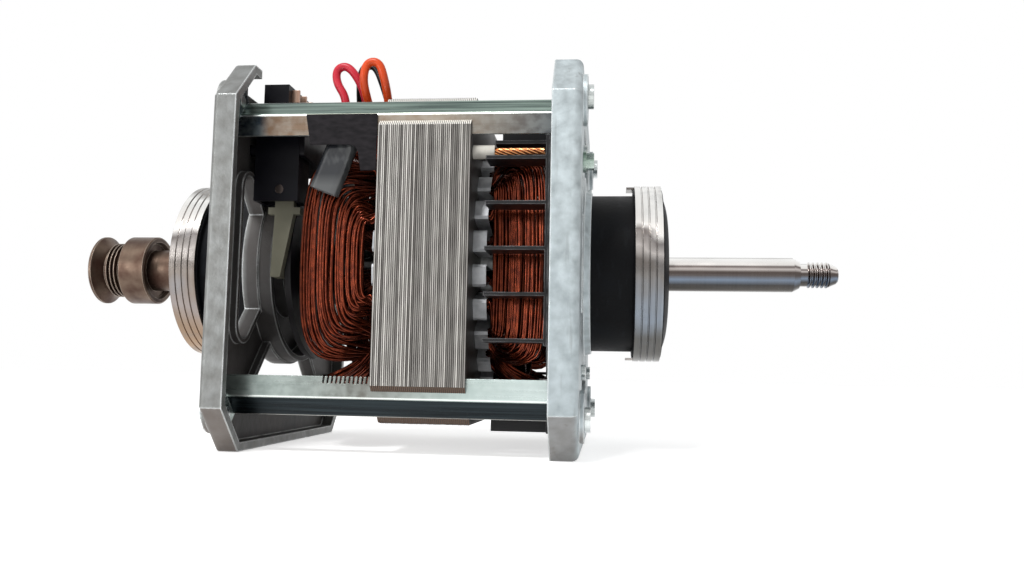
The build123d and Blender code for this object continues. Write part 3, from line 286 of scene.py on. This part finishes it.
# How far out a place is, towards the nearest side or, less corner_less, the nearest cut corner
square = across.larger(high).larger(across + high - corner_less)
# 1 towards the pulley end, whose casting is duller
dull = 1 - along.between(*pulley_half)
in_pulley_pan = along.between(pulley_web_x - web_outer, pulley_web_x + web_inner) * dull
in_blower_pan = 1 - along.between(blower_web_x - web_inner, blower_web_x + web_outer)
in_blower_pan = in_blower_pan * along.between(*blower_half)
# Where shade is painted: within either pan, short of the rim's outside
shaded_inside = (in_pulley_pan + in_blower_pan) * (1 - square.between(rim_inside, rim_outside))
mottle = place.noise(230, 5).between(0.28, 0.72)
flow = place.noise(34, 3, (1, 1, 0.4)).between(0.35, 0.65)
brushed = place.noise(420, 2, (1, 1, 0.1)).between(0.6, 0.72)
rubbed = edge_mask(place, 0.0009) * place.noise(120, 3).between(0.2, 0.5)
# Painted brown shade on faces that look down, low on the bracket
shaded_underside = 1 - place.facing().axis("Z").between(*looks_down)
shaded_underside = shaded_underside * (1 - place.axis("Z").between(*lies_low))
skin = dull.mix(mottle.mix(cast_dark, cast_grey), mottle.mix(dull_dark, dull_grey))
skin = (flow * 0.3).mix(skin, dull.mix(flow_grey, flow_dull))
skin = (brushed * 0.35).mix(skin, brush_mark)
skin = (shaded_underside * 0.6).mix(skin, painted_shade_brown)
# Painted shade within the pans, dark with cloudy patches
skin = (shaded_inside * 0.88).mix(skin, flow.mix(painted_shade_deep, painted_shade_thin))
skin = (rubbed * (1 - shaded_inside * 0.5)).mix(skin, cast_pale)
grain = place.noise(1100, 4)
dress(cast_metal, place, skin, 0.46 - rubbed * 0.16 + shaded_inside * 0.1, metallic=0.6 - shaded_inside * 0.25,
      height=grain + mottle * 1.5, relief=0.00007, rounding=0.0007)
wear(cast_metal, "pulley_end_bracket", "blower_end_bracket")

# Channel rails: 1.2 mm steel strip folded into channels and zinc plated, with a tab at each end that the
# corner screws hold. Painted highlights run along the folds, painted reflections lie on the bevels, teal
# like chromate, and on the flanges that look up or down; the upright legs have taken different tints: slate
# and brown, or pale.
rail_low, rail_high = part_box("rail_top_front")
painted_fold_highlight, spangle_pale = colour(240, 246, 242), colour(226, 236, 232)
slate, brown, sand = colour(58, 70, 80), colour(122, 100, 82), colour(152, 138, 122)
pale_green, grey_green = colour(140, 152, 148), colour(104, 103, 97)
top_tints = [(0.0, colour(40, 50, 58)), (0.07, slate), (0.1, brown), (0.6, sand), (1.0, slate)]
low_tints = [(0.0, pale_green), (0.25, colour(128, 136, 132)), (0.42, grey_green),
             (0.7, colour(168, 182, 178)), (1.0, colour(192, 204, 202))]


def rail_finish(name, side_tints, flat, bevel_reflection_dark, bevel_reflection_pale, spangle_amount):
    # side_tints: tints of the upright leg along the rail, by the share of its length. The slant is 0 on
    # the two legs and 0.5 on the bevel between them, so the folds lie between.
    material, place = new_finish(name)
    across, high = place.facing().axis("Y").size(), place.facing().axis("Z").size()
    slant = across * high
    bevel = slant.between(0.3, 0.46)
    fold_highlight = 1 - (slant - 0.22).size().between(0.03, 0.17)
    streaks = place.noise(700, 4, (0.03, 1, 1)).between(0.32, 0.68)
    spangle = place.noise(330, 4).between(0.36, 0.62)
    along = place.axis("X").between(rail_low.x, rail_high.x)
    side = along.node("ShaderNodeValToRGB", {0: along}, stops=side_tints)
    side = (spangle * spangle_amount).mix(side, spangle_pale)
    # Painted reflection: flanges that look up or down take the flat colour
    base = high.between(0.5, 0.9).mix(side, flat)
    # Painted reflection on the bevels, dark to pale along the streaks, with a teal chromate tint
    base = bevel.mix(base, streaks.mix(bevel_reflection_dark, bevel_reflection_pale))
    # Painted highlight along the folds
    base = (fold_highlight * 0.9).mix(base, painted_fold_highlight)
    return dress(material, place, base, streaks * 0.1 + 0.24, metallic=0.85, height=streaks, relief=0.00002,
                 rounding=0.0003)


top_zinc = rail_finish("zinc_top", top_tints, flat=colour(226, 234, 230), bevel_reflection_dark=colour(52, 70, 66),
                       bevel_reflection_pale=colour(140, 160, 150), spangle_amount=0.12)
low_zinc = rail_finish("zinc_low", low_tints, flat=colour(140, 128, 114), bevel_reflection_dark=colour(14, 20, 24),
                       bevel_reflection_pale=colour(40, 50, 54), spangle_amount=0.14)
wear(top_zinc, "rail_top_rear", "rail_top_front")
wear(low_zinc, "rail_bottom_front", "rail_bottom_rear")

# Stator core: sheets of silicon steel, punched, stacked and pressed, with a groove at each corner for a
# rail. The edges of the sheets make the grooved grey faces: no two sheets are quite the same size or
# shade, and some carry rust.
stack_low, stack_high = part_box("stator_core")
sheet_count = 48
sheet_pitch = (stack_high.x - stack_low.x) / sheet_count
sheet_edge = sheet_pitch * 0.2
sheet_sink, sheet_uneven = 0.0003, 0.0001
sheet_seed = 7
close_by = 0.000001
sheet_greys = [(0.2, colour(104, 101, 97)), (0.5, colour(162, 159, 154)), (0.8, colour(222, 219, 213))]
rust_brown, groove_dark = colour(120, 96, 78), colour(40, 37, 34)
painted_chamfer_shade, painted_chamfer_highlight = colour(104, 82, 68), colour(236, 234, 228)


def flat_faces(mesh, x):
    # The corners of each face that lies flat at x
    for face in mesh.polygons:
        corners = [mesh.vertices[at].co for at in face.vertices]
        if all(abs(corner.x - x) < close_by for corner in corners):
            yield corners


def outline_loops(mesh, x):
    # The edge loops of a flat end at x, as lists of (y, z)
    seen = {}
    for corners in flat_faces(mesh, x):
        keys = [(round(corner.y, 6), round(corner.z, 6)) for corner in corners]
        for here, there in zip(keys, keys[1:] + keys[:1]):
            if (there, here) in seen:
                del seen[(there, here)]
            else:
                seen[(here, there)] = True
    following = {}
    for here, there in seen:
        following.setdefault(here, []).append(there)
    loops = []
    while following:
        start = here = next(iter(following))
        loop = []
        while True:
            loop.append(here)
            there = following[here].pop()
            if not following[here]:
                del following[here]
            here = there
            if here == start:
                break
        loops.append(loop)
    return loops


def outward_steps(loop):
    # A unit step away from the metal at each corner of an outline
    steps = []
    for at, corner in enumerate(loop):
        before = Vector(loop[at - 1])
        after = Vector(loop[(at + 1) % len(loop)])
        along = (after - before).normalized()
        steps.append(Vector((along.y, -along.x)))
    return steps


def ring_of(vertices, loop, steps, x, out):
    # Adds one ring of an outline at x, moved out by a little, and gives its vertex numbers
    first = len(vertices)
    for (y, z), step in zip(loop, steps):
        vertices.append((x, y + step.x * out, z + step.y * out))
    return range(first, first + len(loop))


core_mesh = nodes["stator_core"].data
rng = random.Random(sheet_seed)
vertices, faces = [], []
sheet_out = [-rng.random() * sheet_uneven for _ in range(sheet_count)]
for loop in outline_loops(core_mesh, stack_low.x):
    steps = outward_steps(loop)
    rings = []
    for sheet, out in enumerate(sheet_out):
        x = stack_low.x + sheet * sheet_pitch
        rings.append(ring_of(vertices, loop, steps, x, out - (sheet_sink if sheet else 0)))
        rings.append(ring_of(vertices, loop, steps, x + sheet_edge, out))
        rings.append(ring_of(vertices, loop, steps, x + sheet_pitch - sheet_edge, out))
    rings.append(ring_of(vertices, loop, steps, stack_high.x, sheet_out[-1]))
    for left_ring, right_ring in zip(rings, rings[1:]):
        for at in range(len(loop)):
            after = (at + 1) % len(loop)
            faces.append((left_ring[at], right_ring[at], right_ring[after], left_ring[after]))
for x in (stack_low.x, stack_high.x):
    for corners in flat_faces(core_mesh, x):
        first = len(vertices)
        vertices.extend(tuple(corner) for corner in corners)
        faces.append(tuple(range(first, first + len(corners))))
mesh = bpy.data.meshes.new("stator_sheets")
mesh.from_pydata(vertices, [], faces)
mesh.validate()
stator_sheets = bpy.data.objects.new("stator_sheets", mesh)
bpy.context.scene.collection.objects.link(stator_sheets)


def sheet_finish(name):
    # Each sheet has its own grey, finely drawn along its rim and dark at its two edges. Slanted faces carry
    # painted light: a brown painted shade where they look down and a painted highlight where they look up.
    material, place = new_finish(name)
    along = (place.axis("X") - stack_low.x) / sheet_pitch
    number = along.maths("FLOOR", along)
    edge = (along - number - 0.5).size().between(0.24, 0.34)
    own = place.node("ShaderNodeTexWhiteNoise", {"W": number}, noise_dimensions="1D")
    drawn = place.noise(700, 3, (1, 0.15, 0.15))
    base = place.node("ShaderNodeValToRGB", {0: own * 0.55 + drawn * 0.45}, stops=sheet_greys)
    rust = place.noise(60, 4).between(0.66, 0.84) * place.noise(500, 2).between(0.4, 0.7)
    base = (rust * 0.3).mix(base, rust_brown)
    height = place.facing().axis("Z")
    slanted = height.size().between(0.35, 0.5) * (1 - height.size().between(0.8, 0.95))
    # Painted light on the slanted faces: brown shade below, highlight above
    base = slanted.mix(base, height.between(-0.1, 0.1).mix(painted_chamfer_shade, painted_chamfer_highlight))
    base = (edge * 0.88).mix(base, groove_dark)
    return dress(material, place, base, 0.36 + rust * 0.3 + own * 0.1, metallic=0.45, height=drawn,
                 relief=0.00002)


stator_sheets.data.materials.append(sheet_finish("lamination_edges"))
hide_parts("stator_core")
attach(stator_sheets, "frame")

# Slot liners: silver-grey insulating film that keeps the wire off the sheets. It is folded into each
# slot and stands out as a cuff at both ends.
liner_film, place = new_finish("liner_film")
cloud = place.noise(240, 3).between(0.3, 0.7)
dress(liner_film, place, cloud.mix(colour(150, 152, 156), colour(198, 200, 202)), cloud * 0.12 + 0.28,
      metallic=0.25, height=cloud, relief=0.00005)
wear(liner_film, "slot_liners")

# Windings: four main coils of 1 mm enamelled copper wire, and four start coils of finer wire, set between
# them and nearer the shaft. Each coil is one unbroken wire, wound loop by loop and left as it lay: the
# loops bulge out of the slots, lie in rough layers, stray over each other here and there, and shine.
slot_pitch = math.radians(15)
stack_left, stack_right = stack_low.x * 1000, stack_high.x * 1000
# Two values are for the left and right ends. cuffs: how far out a wire clears the liner's cuff, and
# past_cuff: how far it runs on before it turns, in millimetres. squareness: how far out an end turn's
# corner lies, as a share of its reach. beside, below and between_layers: from wire to wire, in wires.
cuffs = (3.6, 4.8)
past_cuff = 1.2
squareness = (0.78, 0.93)
beside, below = 1.05, 1.02
between_layers = 1.1
# In millimetres; wound_coil says what each size is
main_sizes = {"wire": 0.98, "loops": 60, "columns": 3, "slots": ((1.5, 43.7), (2.5, 43.7), (3.45, 43.4)),
              "faces": (43.8, 43.3), "reaches": ((8.0, 28.2), (7.2, 23.6)),
              "heights": ((12.8, 36.4), (25.0, 36.4)), "layers": 4, "stray": 1.1}
start_sizes = {"wire": 0.7, "loops": 60, "columns": 3, "slots": ((1.5, 34.0), (2.5, 36.6)),
               "faces": (34.6, 34.6), "reaches": ((4.8, 18.5), (5.8, 15.6)),
               "heights": ((4.0, 26.0), (4.0, 26.0)), "layers": 3, "stray": 0.7}
main_seed, start_seed = 11, 31


def wire_in_slot(pitches, r, aside):
    # Depth and height of a wire at r in a slot, and aside of the slot's middle line
    angle = pitches * slot_pitch
    return r * math.cos(angle) - aside * math.sin(angle), r * math.sin(angle) + aside * math.cos(angle)


def wound_coil(name, quarter, seed, wire, loops, columns, slots, faces, reaches, heights, layers, stray):
    # slots: (pitches from the pole's middle, radius of the first row) of each slot, nearest first.
    # faces: depth of the outermost end turns. reaches: how far the first and the last end turn stand off
    # the stack. heights: half the height of the first and the last end turn. stray: how far a turn may
    # lie from its place, in wires.
    rng = random.Random(seed)
    points = []
    in_each = loops // len(slots)

    def slot_spot(loop):
        # Depth and height of a loop in its slot, and how much it fans out where it leaves the slot
        pitches, top = slots[min(loop // in_each, len(slots) - 1)]
        row, column = divmod(loop % in_each, columns)
        aside = (column - (columns - 1) / 2) * wire * beside
        fan = (loop % in_each) / in_each - 0.5
        return *wire_in_slot(pitches, top - row * wire * below, aside), fan

    def end_turn(loop, end, edge, outward, leave, enter):
        # From one slot over to the other, as a bulging half loop, squarer at the right end
        share = loop / (loops - 1)
        layer = (loop * 2 + seed) % layers
        depth = faces[end] - layer * wire * between_layers - rng.random() * 0.35 * wire
        near, last = reaches[end]
        far = near + (last - near) * share + rng.uniform(-1, 1) * wire * stray
        low, top = heights[end]
        high = low + (top - low) * share + rng.uniform(-1, 1) * wire * stray
        lean = rng.uniform(-2.2, 2.2) * wire * stray * share
        cuff = cuffs[end]
        past = cuff + past_cuff
        sides = []
        for sign, (slot_depth, slot_high, fan) in ((1, leave), (-1, enter)):
            # From the slot's mouth to near the turn's middle: how far out, how deep, how high
            rise, climb = depth - slot_depth, high - slot_high
            run = [(0.4, slot_depth, slot_high),
                   (cuff * 0.8, slot_depth + rise * 0.1, slot_high + fan * 2.0),
                   (past, slot_depth + rise * 0.4, slot_high + fan * 8.0),
                   (past + (far - cuff) * 0.35, slot_depth + rise * 0.8, slot_high + climb * 0.9),
                   (cuff + (far - cuff) * squareness[end], depth, high * 0.96),
                   (far * 0.97, depth, high * 0.7 + lean * sign),
                   (far, depth, high * 0.28 + lean)]
            sides.append([(edge + outward * (out + rng.uniform(-0.4, 0.3) * wire),
                           deep + rng.uniform(-0.4, 0.05) * wire,
                           sign * tall + rng.uniform(-0.4, 0.4) * wire) for out, deep, tall in run])
        return sides[0] + sides[1][::-1]

    for loop in range(loops):
        here = slot_spot(loop)
        there = slot_spot(min(loop + 1, loops - 1))
        points += end_turn(loop, 0, stack_left, -1, here, here)
        points += end_turn(loop, 1, stack_right, 1, there, here)[::-1]
    turn = Matrix.Rotation(quarter * math.pi / 2, 3, "X")
    line = [turn @ Vector((x, -deep, tall)) / 1000 for x, deep, tall in points]
    coil = smooth_tube(name, line, wire / 2 / 1000, sides=2, steps=3)
    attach(coil, "frame")
    return coil


def enamel_finish(name, dark, light, coat):
    # Copper seen through a thin coat of enamel, with patches where the coat is thicker
    material, place = new_finish(name)
    patch = place.noise(420, 3).between(0.3, 0.7)
    return dress(material, place, patch.mix(dark, light), 0.2, metallic=0.92, coat_weight=coat,
                 coat_roughness=0.1)


main_enamel = enamel_finish("main_enamel", colour(72, 27, 16), colour(122, 54, 31), 0.08)
start_enamel = enamel_finish("start_enamel", colour(54, 21, 13), colour(92, 42, 25), 0.08)
for quarter, side in enumerate(("front", "bottom", "rear", "top")):
    coil = wound_coil(f"main_winding_{side}", quarter, main_seed + quarter, **main_sizes)
    coil.data.materials.append(main_enamel)
    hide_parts(f"main_coil_{side}")
for quarter, side in enumerate(("bottom_front", "bottom_rear", "top_rear", "top_front")):
    coil = wound_coil(f"start_winding_{side}", quarter + 0.5, start_seed + quarter, **start_sizes)
    coil.data.materials.append(start_enamel)
    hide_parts(f"start_coil_{side}")

# Winding guard: a plate behind the blower-end bracket, and combs of fins over the end turns, moulded in
# black plastic and screwed to the bracket. Its corners have been rubbed grey.
guard_skin, place = new_finish("guard_plastic")
rubbed = edge_mask(place, 0.0005) * place.noise(200, 2).between(0.3, 0.7)
base = (rubbed * 0.9).mix(colour(12, 12, 14), colour(150, 150, 152))
dress(guard_skin, place, base, 0.42 - rubbed * 0.1, height=place.noise(1800, 2), relief=0.00003,
      rounding=0.0003, specular_ior_level=0.3)
wear(guard_skin, "winding_guard", "guard_combs")


# Screws: zinc-plated steel with pan heads and a cross slot. Four at each end go through a bracket's
# corners into the rails' tabs, and smaller ones hold the guard and the switch. The ground screw is
# passivated green.
def zinc_finish(name, tint, tint_amount):
    material, place = new_finish(name)
    streaks = place.noise(900, 3, (0.02, 1, 1))
    patches = place.noise(75, 4).between(0.38, 0.66)
    base = streaks.between(0.35, 0.65).mix(colour(176, 182, 182), colour(214, 219, 219))
    base = (patches * tint_amount).mix(base, tint)
    return dress(material, place, base, patches * 0.16 + 0.2, metallic=1.0, height=streaks + patches * 0.4,
                 relief=0.00002, rounding=0.0003)


screw_zinc = zinc_finish("screw_zinc", colour(150, 152, 140), 0.4)
wear(screw_zinc, "blower_end_screws", "pulley_end_screws", "guard_screws", "switch_screws")
ground_green = zinc_finish("ground_green", colour(42, 110, 60), 0.9)
wear(ground_green, "ground_screw")

# Ring mounts: a moulded black rubber cushion on each hub, under a band of rolled steel with grooves,
# which the machine's clamp holds. The cushions have a faint bloom and scuffs, and the bands are brushed
# and carry a painted reflection of a room, straw coloured low at the pulley end.
room_stops = [(0.0, colour(70, 66, 62)), (0.16, colour(44, 44, 46)), (0.3, colour(100, 114, 132)),
              (0.42, colour(64, 58, 58)), (0.53, colour(78, 66, 62)), (0.61, colour(196, 188, 184)),
              (0.69, colour(84, 70, 68)), (0.75, colour(234, 230, 226)), (0.93, colour(252, 252, 250)),
              (1.0, colour(120, 116, 112))]
low_half = (-0.03, 0.0)
band_straw, band_blue = colour(178, 142, 106), colour(120, 126, 132)


def painted_room_reflection(place, shift):
    # A painted reflection: the tones that polished steel would take from a room, by how far the surface
    # looks up
    height = place.node("ShaderNodeNewGeometry", output="Normal").axis("Z") + shift
    return place.node("ShaderNodeValToRGB", {0: height.between(-1.0, 1.0)}, stops=room_stops)


rubber, place = new_finish("cushion_rubber")
bloom = place.noise(55, 4).between(0.45, 0.72)
scuff = place.noise(420, 3, (1, 0.3, 0.3)).between(0.58, 0.7)
base = (bloom * 0.3 + scuff * 0.2).mix(colour(4, 5, 8), colour(38, 41, 46))
dress(rubber, place, base, 0.5 + bloom * 0.15, height=place.noise(900, 3) + scuff * 0.5, relief=0.00006,
      rounding=0.0006, specular_ior_level=0.12)
wear(rubber, "blower_end_cushion", "pulley_end_cushion")
band_metal, place = new_finish("band_steel")
brushed = place.noise(900, 2, (1, 0.03, 0.03))
stain = place.noise(120, 4).between(0.5, 0.72)
# Painted reflection of a room, shifted about by noise
sheen = painted_room_reflection(place, place.noise(45, 3) * 0.9 - 0.35)
base = brushed.between(0.2, 0.8).mix(colour(158, 156, 150), colour(206, 205, 200))
base = base.toward(sheen, 0.75)
straw = (1 - place.axis("Z").between(*low_half)) * (1 - place.axis("X").between(*pulley_half))
base = (straw * 0.6).mix(base, band_straw)
base = (stain * 0.25).mix(base, band_blue)
dress(band_metal, place, base, 0.2 + stain * 0.12, metallic=0.9, height=brushed, relief=0.00001,
      rounding=0.0002)
wear(band_metal, "blower_end_ring_band", "pulley_end_ring_band")


# Shaft and its small parts: the shaft, pins and thrust washers are ground steel, with fine turning marks
# and a few scratches, and a painted reflection makes them bright above and brown and blue below. The
# bearing retainers, the governor's base and its weights are pressed from duller sheet.
def turned_finish(name, dark, pale, rough, stain_colour, stain_amount, painted_reflection_amount=0.0):
    material, place = new_finish(name)
    turned = place.noise(900, 2, (1, 0.02, 0.02))
    scratch = place.noise(160, 4, (0.25, 1, 1)).between(0.55, 0.66)
    stain = place.noise(70, 4).between(0.48, 0.7)
    base = turned.between(0.25, 0.75).mix(dark, pale)
    # Mixed with a painted reflection of a room, by the given amount
    base = base.toward(painted_room_reflection(place, 0.0), painted_reflection_amount)
    base = (stain * stain_amount).mix(base, stain_colour)
    return dress(material, place, base, rough + scratch * 0.1 + stain * 0.1, metallic=1.0,
                 height=turned + scratch * 0.4, relief=0.000006, rounding=0.0002)


ground_steel = turned_finish("ground_steel", colour(150, 147, 142), colour(180, 177, 172), 0.16,
                             colour(104, 96, 86), 0.1, painted_reflection_amount=0.92)
wear(ground_steel, "shaft", "lever_pin", "governor_pins", "thrust_washers")
pressed_steel = turned_finish("pressed_steel", colour(120, 120, 118), colour(168, 168, 165), 0.36,
                              colour(96, 84, 70), 0.4)
wear(pressed_steel, "blower_end_bearing_retainer", "pulley_end_bearing_retainer", "governor_base",
     "governor_weight_a", "governor_weight_b")

# Pulley: turned from steel with grooves for a ribbed belt, and fixed on the shaft's end. It is oiled and
# browned by belt dust, with brighter rims.
pulley_metal, place = new_finish("pulley_steel")
turned = place.noise(1500, 3, (1, 0.05, 0.05))
dust = place.noise(130, 4).between(0.35, 0.65)
rubbed = edge_mask(place, 0.0005)
base = dust.mix(colour(104, 88, 76), colour(70, 50, 42))
base = (rubbed * 0.7).mix(base, colour(190, 178, 164))
dress(pulley_metal, place, base, 0.34 + dust * 0.16, metallic=0.9, height=turned + dust * 0.6,
      relief=0.00004, rounding=0.0002)
wear(pulley_metal, "pulley")

# Bearings and felts: sintered bronze sleeves with a barrel shape outside, one in each hub, and washers
# of oiled wool beside them.
bronze, place = new_finish("bronze")
pores = place.noise(2200, 2).between(0.55, 0.65)
base = (pores * 0.6).mix(colour(176, 134, 84), colour(96, 68, 40))
dress(bronze, place, base, 0.4, metallic=0.9, height=1 - pores, relief=0.00004)
wear(bronze, "blower_end_bearing", "pulley_end_bearing")
felt, place = new_finish("felt")
fibre = place.noise(1900, 4, (1, 0.3, 1))
base = fibre.between(0.3, 0.7).mix(colour(150, 138, 112), colour(196, 186, 160))
dress(felt, place, base, 0.9, height=fibre, relief=0.0003)
wear(felt, "blower_end_oil_felt", "pulley_end_oil_felt")

# Rotor: sheets stacked on the shaft, with a ring cast on at each end that carries fan blades. The sheets
# are turned true after casting.
wear(sheet_finish("rotor_sheets"), "rotor_core")
cast_rotor, place = new_finish("cast_rotor")
grain = place.noise(500, 4)
base = grain.between(0.3, 0.7).mix(colour(140, 142, 142), colour(192, 194, 193))
dress(cast_rotor, place, base, 0.44, metallic=0.85, height=grain, relief=0.0001, rounding=0.0004)
wear(cast_rotor, "rotor_end_ring_pulley_end", "rotor_end_ring_blower_end")

# Insulation sheet and protector: thin black board against the rail, and a dark shrunk sleeve, hazy and
# clearer at its lower end, round the thermal protector's can. The sleeve nearly touches the top front rail.
board, place = new_finish("sheet_board")
fibre = place.noise(700, 3, (0.4, 1, 1))
base = fibre.between(0.35, 0.65).mix(colour(14, 12, 15), colour(32, 29, 32))
dress(board, place, base, 0.5, height=fibre, relief=0.00006, specular_ior_level=0.12)
wear(board, "insulation_sheet")
film, place = new_finish("sleeve_film")
haze = place.noise(150, 3, (1, 1, 0.5)).between(0.46, 0.66)
clear_below, dark_above = 0.0235, 0.0275
clear_end = 1 - place.axis("Z").between(clear_below, dark_above)
base = haze.larger(clear_end * 0.7).mix(colour(34, 36, 40), colour(96, 98, 98))
dress(film, place, base, 0.2, height=haze, relief=0.0001, rounding=0.0005, specular_ior_level=0.6)
wear(film, "protector_sleeve")
can_steel = turned_finish("protector_can", colour(110, 110, 110), colour(150, 150, 150), 0.4,
                          colour(80, 76, 70), 0.2)
wear(can_steel, "thermal_protector")

# Crossover lead: bright strands twisted together, six round one, that run from the stack to the guard.
# A white braided sleeve covers them where they leave the stack.
strand_low, strand_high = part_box("crossover_wires")
strand_count, strand_r, strand_pitch = 7, 0.45, 14.0
strand_ring, strand_steps = 1.1, 16
wires_middle = (strand_low + strand_high) / 2 * 1000
wires_left, wires_right = strand_low.x * 1000, strand_high.x * 1000
strand_enamel = enamel_finish("strand_enamel", colour(150, 84, 44), colour(232, 166, 108), 0.5)
for strand in range(strand_count):
    ring = strand_ring if strand else 0.0
    points = []
    for step in range(strand_steps + 1):
        x = wires_left + (wires_right - wires_left) * step / strand_steps
        angle = 2 * math.pi * ((x - wires_left) / strand_pitch + strand / (strand_count - 1))
        points.append((x, wires_middle.y + ring * math.cos(angle), wires_middle.z + ring * math.sin(angle)))
    piece = smooth_tube(f"crossover_strand_{strand + 1}", in_metres(points), strand_r / 1000)
    piece.data.materials.append(strand_enamel)
    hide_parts("crossover_wires")
    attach(piece, "frame")
braid, place = new_finish("braid")
weave = place.node("ShaderNodeTexWave", {"Vector": place, "Scale": 900.0, "Distortion": 2.0})
base = weave.mix(colour(196, 192, 180), colour(238, 235, 226))
dress(braid, place, base, 0.7, height=weave, relief=0.0001)
wear(braid, "crossover_sleeve")

# Start switch: a black moulded housing and cover, screwed to the pulley-end bracket, with tinned blades,
# a steel leaf that carries a contact, and an ivory lever that rests against the governor's disc.
wear(plastic_finish("switch_plastic", colour(10, 10, 16), 0.36, shine=0.15), "switch_housing")
wear(plastic_finish("switch_cover", colour(16, 14, 18), 0.34, shine=0.15), "switch_cover")
tinned = turned_finish("tinned_blades", colour(150, 116, 100), colour(206, 180, 160), 0.3,
                       colour(140, 84, 66), 0.5)
wear(tinned, "switch_terminals", "switch_contacts")
wear(pressed_steel, "switch_contact_spring")
wear(plastic_finish("lever_ivory", colour(124, 122, 106), 0.4), "switch_lever")

# Governor: a dark moulded collar that slides on the shaft, and two springs, wound of steel wire, that
# hold the weights in. They go from weight to weight, one on each side of the shaft.
wear(plastic_finish("collar_plastic", colour(26, 24, 26), 0.34), "governor_collar")
spring_low, spring_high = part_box("governor_springs")
spring_wire, spring_turns, turn_steps = 0.0003, 15, 12
spring_r = (spring_high.x - spring_low.x) / 2 - spring_wire
spring_x = (spring_high.x + spring_low.x) / 2
spring_rise = spring_high.z - spring_low.z - 2 * spring_wire
spring_aside = spring_r + spring_wire
spring_steps = spring_turns * turn_steps
spring_steel = turned_finish("spring_steel", colour(120, 120, 120), colour(190, 190, 188), 0.28,
                             colour(90, 84, 76), 0.2)
for side, spring_y in (("front", spring_low.y + spring_aside), ("rear", spring_high.y - spring_aside)):
    points = []
    for step in range(spring_steps + 1):
        share = step / spring_steps
        angle = 2 * math.pi * spring_turns * share
        points.append(Vector((spring_x + spring_r * math.cos(angle), spring_y + spring_r * math.sin(angle),
                              spring_low.z + spring_wire + spring_rise * share)))
    spring = smooth_tube(f"governor_spring_{side}", points, spring_wire)
    spring.data.materials.append(spring_steel)
    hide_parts("governor_springs")
    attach(spring, "rotor")

# Studio: a white floor under the brackets' rims and a white surround, which both look brighter than they
# light. A soft lamp stands above in front, and a weaker one on the left, about level with the motor.
floor_z = cad_box[0].z
floor_half = 3.0
floor_glow, surround_light = 0.64, 0.42
white, unlit = (1, 1, 1, 1), (0, 0, 0, 1)
floor_corners = [(-floor_half, -floor_half, floor_z), (floor_half, -floor_half, floor_z),
                 (floor_half, floor_half, floor_z), (-floor_half, floor_half, floor_z)]
floor_mesh = bpy.data.meshes.new("floor")
floor_mesh.from_pydata(floor_corners, [], [(0, 1, 2, 3)])
floor = bpy.data.objects.new("floor", floor_mesh)
bpy.context.scene.collection.objects.link(floor)


def shown_white(place):
    # 1 where the camera or a reflection looks at the studio, 0 where it lights the motor
    camera_ray, glossy_ray, clear_ray = (place.node("ShaderNodeLightPath", output=f"Is {kind} Ray")
                                         for kind in ("Camera", "Glossy", "Transmission"))
    return camera_ray.larger(glossy_ray).larger(clear_ray)


floor_white, place = new_finish("floor_white")
dress(floor_white, place, (0.9, 0.9, 0.9, 1), 0.9, emission_strength=floor_glow)
glow = shown_white(place).mix(unlit, white)
glow.tree.links.new(glow.socket, floor_white.node_tree.nodes["Principled BSDF"].inputs["Emission Color"])
floor.data.materials.append(floor_white)

world = bpy.data.worlds.new("studio")
bpy.context.scene.world = world
world.use_nodes = True
tree = world.node_tree
background = tree.nodes["Background"]
background.inputs["Color"].default_value = white
strength = shown_white(Tone(tree, None)) * (1 - surround_light) + surround_light
tree.links.new(strength.socket, background.inputs["Strength"])


def soft_lamp(name, place, aim, size, power):
    data = bpy.data.lights.new(name, "AREA")
    data.shape = "RECTANGLE"
    data.size, data.size_y = size
    data.energy = power
    lamp = bpy.data.objects.new(name, data)
    lamp.location = place
    lamp.rotation_euler = (Vector(aim) - Vector(place)).to_track_quat("-Z", "Y").to_euler()
    bpy.context.scene.collection.objects.link(lamp)


motor_middle = (-0.08, 0, 0)
soft_lamp("key_lamp", (-0.3, -0.6, 0.8), motor_middle, size=(0.3, 0.25), power=7)
soft_lamp("side_lamp", (-0.7, -0.7, 0.1), motor_middle, size=(0.2, 0.3), power=2)
bpy.context.scene.view_settings.view_transform = "Standard"
